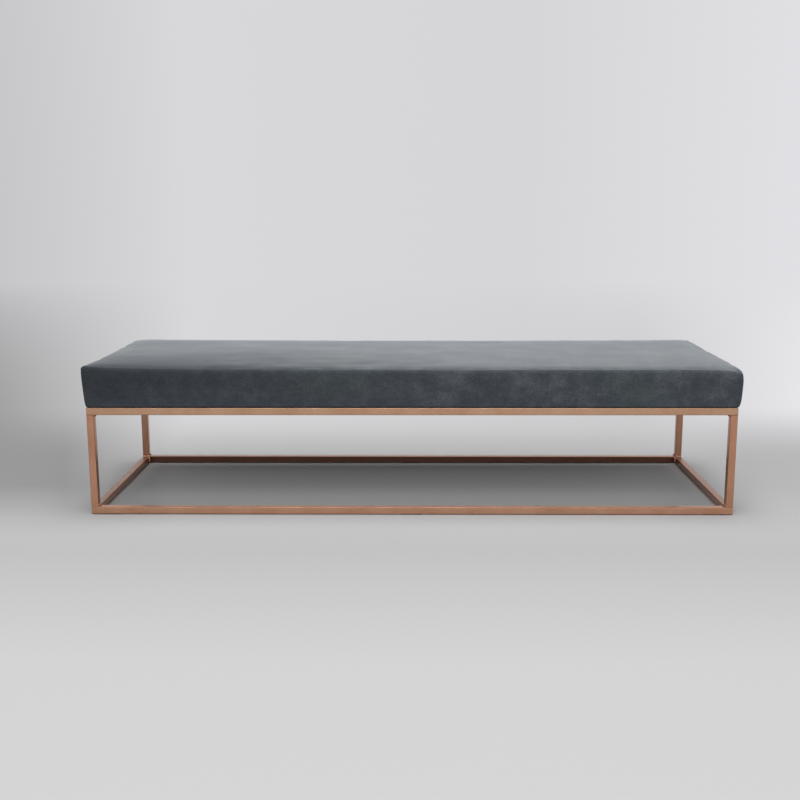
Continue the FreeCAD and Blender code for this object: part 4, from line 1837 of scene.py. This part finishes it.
@dataclass
class Fixings:
    """The CAD pieces under the pad that keep their shape: board, tee nuts, bolts, washers, staples.

    Attributes:
        zinc_parts: the zinc-plated ones.
        wire_parts: those bent from galvanised wire.
    """

    zinc_parts: tuple[str, ...] = ("tee_nuts", "seat_bolts", "seat_washers")
    wire_parts: tuple[str, ...] = ("cover_staples", "dust_cover_staples")

    def build(self) -> None:
        """Gives each of them its finish."""
        dress(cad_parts["seat_board"], PoplarPlywood(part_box("seat_board")[0].z).build())
        zinc = ZincPlate().build()
        wire = ZincPlate("galvanised_wire", "B9BDC0", "94999D", 1.2 * MM).build()
        for name in self.zinc_parts:
            dress(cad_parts[name], zinc)
        for name in self.wire_parts:
            dress(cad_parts[name], wire)


# Studio


# Hex colours from left to right, each with the sideways part of the direction where it is reached.
Tones = tuple[tuple[float, str], ...]


@dataclass(frozen=True)
class Lamp:
    """One soft lamp.

    Attributes:
        name: its name.
        place: where it hangs.
        aim: the point it faces.
        size: its width and height.
        power: its power in watts.
    """

    name: str
    place: tuple[float, float, float]
    aim: tuple[float, float, float]
    size: tuple[float, float]
    power: float

    def build(self) -> None:
        """Hangs the lamp."""
        light = bpy.data.lights.new(self.name, "AREA")
        light.shape = "RECTANGLE"
        light.size, light.size_y = self.size
        light.energy = self.power
        lamp = bpy.data.objects.new(self.name, light)
        lamp.location = self.place
        way = Vector(self.aim) - Vector(self.place)
        lamp.rotation_euler = way.to_track_quat("-Z", "Y").to_euler()
        bpy.context.scene.collection.objects.link(lamp)


@dataclass
class Studio:
    """The pale floor, the backdrop, the lamps and the camera.

    Attributes:
        camera_place: where the camera stands.
        pitch: how far it looks down.
        heading: how far it is turned to the left.
        roll: how far it leans.
        lens: its focal length in millimetres.
        sensor: its sensor width in millimetres.
        ambient: the world's light from the front, the sides and above.
        rear_ambient: its light from high up behind.
        ambient_turn: between which rearward parts of a direction the one gives way to the other.
        rear_glow: its extra light from low down behind.
        glow_top: between which upward parts of a direction that ends.
        glow_sides: between which rearward parts of a direction it becomes complete.
        zenith_light: its extra light from straight above.
        zenith_edge: between which upward parts of a direction that becomes complete.
        fan_point: the point that the floor's bands of colour fan out from.
        far_tones: the backdrop's colour from left to right, by the sideways part of its direction,
            with painted light that makes it lighter to the right.
        near_tones: the same for the floor close behind the bench, painted darker to the left and lighter to
            the right.
        side_shade_tones: the same for the floor under and beside it, painted darker beyond both ends of the
            bench as shade.
        front_shade_tone: the floor's colour in front, painted darker than under the bench as shade.
        front_glow: the colours it shows by itself far in front and close in front.
        paint_turn: between which places along Y the front's paint gives way to the side's.
        far_turn: between which the near tones give way to the far ones.
        glow_turn: between which the one colour in front gives way to the other.
        rear_fade: between which the floor fades into its own colours behind the bench.
        front_fade: between which it does so in front, where it shows half of them.
        floor_size: the floor's width and depth.
        lamps: the lamps.
    """

    camera_place: tuple[float, float, float] = (0.00505, -3.1624, 0.8661)
    pitch: float = math.radians(10.805)
    heading: float = math.radians(0.694)
    roll: float = math.radians(-0.12)
    lens: float = 48.99
    sensor: float = 36.0
    ambient: float = 0.76
    rear_ambient: float = 0.12
    ambient_turn: tuple[float, float] = (-0.8, 0.3)
    rear_glow: float = 0.78
    glow_top: tuple[float, float] = (0.2, 0.45)
    glow_sides: tuple[float, float] = (0.0, 0.5)
    zenith_light: float = 7.2
    zenith_edge: tuple[float, float] = (0.95, 0.985)
    fan_point: tuple[float, float, float] = (0.0, -3.2, 0.9)
    # The backdrop's tones are painted light: darker to the left and lighter to the right.
    far_tones: Tones = ((-0.36, "C6C5C8"), (-0.2, "D8D8DA"), (0.1, "D6D5D8"), (0.36, "E2E1E5"))
    near_tones: Tones = ((-0.36, "9F9FA0"), (-0.2, "D8D7D9"), (0.2, "CDCCCE"), (0.34, "E8E7EA"))
    side_shade_tones: Tones = ((-0.3, "868687"), (-0.21, "B8B8B9"), (0.2, "B8B8B9"), (0.29, "A2A2A3"))
    front_shade_tone: str = "ACACAD"
    front_glow: tuple[str, str] = ("DCDCDD", "BBBBBC")
    paint_turn: tuple[float, float] = (-0.5, 0.0)
    far_turn: tuple[float, float] = (1.3, 7.5)
    glow_turn: tuple[float, float] = (-1.25, -0.6)
    rear_fade: tuple[float, float] = (0.3, 1.3)
    front_fade: tuple[float, float] = (-0.65, -0.25)
    floor_size: float = 80.0
    lamps: tuple[Lamp, ...] = (
        Lamp("overhead_softbox", (0.1, 0.0, 5.0), (0.1, 0.0, 0.35), (2.4, 2.7), 76),
        Lamp("front_softbox", (0.0, -4.0, 4.2), (0.0, -0.1, 0.2), (4.0, 1.6), 74),
        Lamp("low_front_softbox", (0.0, -6.6, 3.9), (0.0, -0.1, 0.2), (4.0, 1.6), 125),
    )

    def make_camera(self) -> None:
        """Sets the camera at the photograph's angle."""
        data = bpy.data.cameras.new("studio_camera")
        data.lens = self.lens
        data.sensor_width = self.sensor
        camera = bpy.data.objects.new("studio_camera", data)
        turn = Matrix.Rotation(self.heading, 4, "Z")
        turn = turn @ Matrix.Rotation(math.pi / 2 - self.pitch, 4, "X")
        turn = turn @ Matrix.Rotation(self.roll, 4, "Z")
        camera.matrix_world = Matrix.Translation(self.camera_place) @ turn
        bpy.context.scene.collection.objects.link(camera)
        bpy.context.scene.camera = camera

    def backdrop_colour(self, tree: NodeTree, way: NodeSocket, tones: Tones) -> NodeSocket:
        """Adds a colour that changes from left to right.

        Args:
            tree: the floor's or the world's node tree.
            way: the direction that is looked in.
            tones: the colours.

        Returns:
            The colour.
        """
        level = add_node(tree, "VectorMath", (way,), operation="NORMALIZE")
        right = add_node(tree, "SeparateXYZ", (level,), "X")
        ramp = add_node(tree, "ValToRGB", (add_node(tree, "MapRange", (right, -0.5, 0.5)),))
        stops = ramp.node.color_ramp.elements
        while len(stops) < len(tones):
            stops.new(0.5)
        for stop, (place, code) in zip(stops, tones):
            stop.position = place + 0.5
            stop.color = linear(code)
        return ramp

    def shown_share(self, tree: NodeTree) -> NodeSocket:
        """Adds a value that tells what is shown from plain light.

        Args:
            tree: the floor's or the world's node tree.

        Returns:
            1 for what the camera, metal or glass shows, and 0 for plain light.
        """
        seen = add_node(tree, "LightPath", out="Is Camera Ray")
        mirrored = (seen.node.outputs["Is Glossy Ray"], seen.node.outputs["Is Transmission Ray"])
        for share in mirrored:
            seen = add_node(tree, "Math", (seen, share), operation="MAXIMUM")
        return seen

    def make_world(self) -> None:
        """Sets the world: plain grey light, weaker from behind, and the backdrop where it shows."""
        world = bpy.data.worlds.new("studio_world")
        world.use_nodes = True
        tree = world.node_tree
        tree.nodes.clear()
        add = partial(add_node, tree)
        way = add("TexCoord", out="Generated")
        seen = add("Background", (self.backdrop_colour(tree, way, self.far_tones),))
        rearward = add("SeparateXYZ", (way,), "Y")
        upward = rearward.node.outputs["Z"]
        around = add("MapRange", (rearward, *self.ambient_turn, self.ambient, self.rear_ambient))
        zenith = (upward, *self.zenith_edge, 0.0, self.zenith_light)
        above = add("MapRange", zenith, interpolation_type="SMOOTHSTEP")
        low = add("MapRange", (upward, *self.glow_top, self.rear_glow, 0.0))
        behind = add("MapRange", (rearward, *self.glow_sides))
        lit = add("Math", (around, above), operation="ADD")
        strength = add("Math", (low, behind, lit), operation="MULTIPLY_ADD")
        light = add("Background", ((1, 1, 1, 1), strength))
        mixed = add("MixShader", (self.shown_share(tree), light, seen))
        add("OutputWorld", (mixed,))
        bpy.context.scene.world = world

    def make_floor(self) -> None:
        """Makes the floor, which fades into the backdrop's colours behind the bench and in front shows a
        painted glow that brightens away from the bench.
        """
        deselect_all()
        bpy.ops.mesh.primitive_plane_add(size=self.floor_size)
        floor = bpy.context.object
        floor.name = "studio_floor"
        surface = Surface("painted_floor", Roughness=0.85, Specular_IOR_Level=0.2)
        add = surface.add
        way = add("VectorMath", (surface.place, self.fan_point), operation="SUBTRACT")
        depth = add("SeparateXYZ", (surface.place,), "Y")
        near, far, side = (
            self.backdrop_colour(surface.tree, way, tones)
            for tones in (self.near_tones, self.far_tones, self.side_shade_tones)
        )
        blends = []
        # The floor's colour is painted shade: darker beyond the ends of the bench and in front.
        for turn, first, second in (
            (self.paint_turn, linear(self.front_shade_tone), side),
            (self.far_turn, near, far),
            (self.glow_turn, *(linear(code) for code in self.front_glow)),
        ):
            share = add("MapRange", (depth, *turn))
            blends.append(add("Mix", {0: share, 6: first, 7: second}, **COLOURS))
        paint, backdrop, ahead = blends
        surface.feed(Base_Color=paint)
        share = add("MapRange", (depth, -0.01, 0.01))
        shown = add("Mix", {0: share, 6: ahead, 7: backdrop}, **COLOURS)
        glow = add("Emission", (shown, 1.0))
        behind = add("MapRange", (depth, *self.rear_fade), interpolation_type="SMOOTHSTEP")
        # In front the floor glows by itself, half and half with its lit colour: a painted pool of light,
        # brighter away from the bench.
        before = add("MapRange", (depth, *self.front_fade, 0.5, 0.0))
        both = add("Math", (behind, before), operation="ADD")
        share = add("Math", (both, self.shown_share(surface.tree)), operation="MULTIPLY")
        mixed = add("MixShader", (share, surface.shader.outputs[0], glow))
        surface.tree.links.new(mixed, surface.tree.nodes["Material Output"].inputs["Surface"])
        dress(floor, surface.material)

    def build(self) -> None:
        """Makes the whole studio."""
        self.make_camera()
        self.make_world()
        self.make_floor()
        for lamp in self.lamps:
            lamp.build()
        bpy.context.scene.view_settings.view_transform = "Standard"
        LOG.info("studio set")


def main() -> None:
    """Builds every sub-assembly in order."""
    logging.basicConfig(level=logging.INFO, format="%(name)s: %(message)s")
    Studio().build()
    SteelFrame().build()
    FloorFelts().build()
    SeatPad().build()
    DustCover().build()
    Fixings().build()
    deselect_all()


if __name__ == "__main__":
    main()
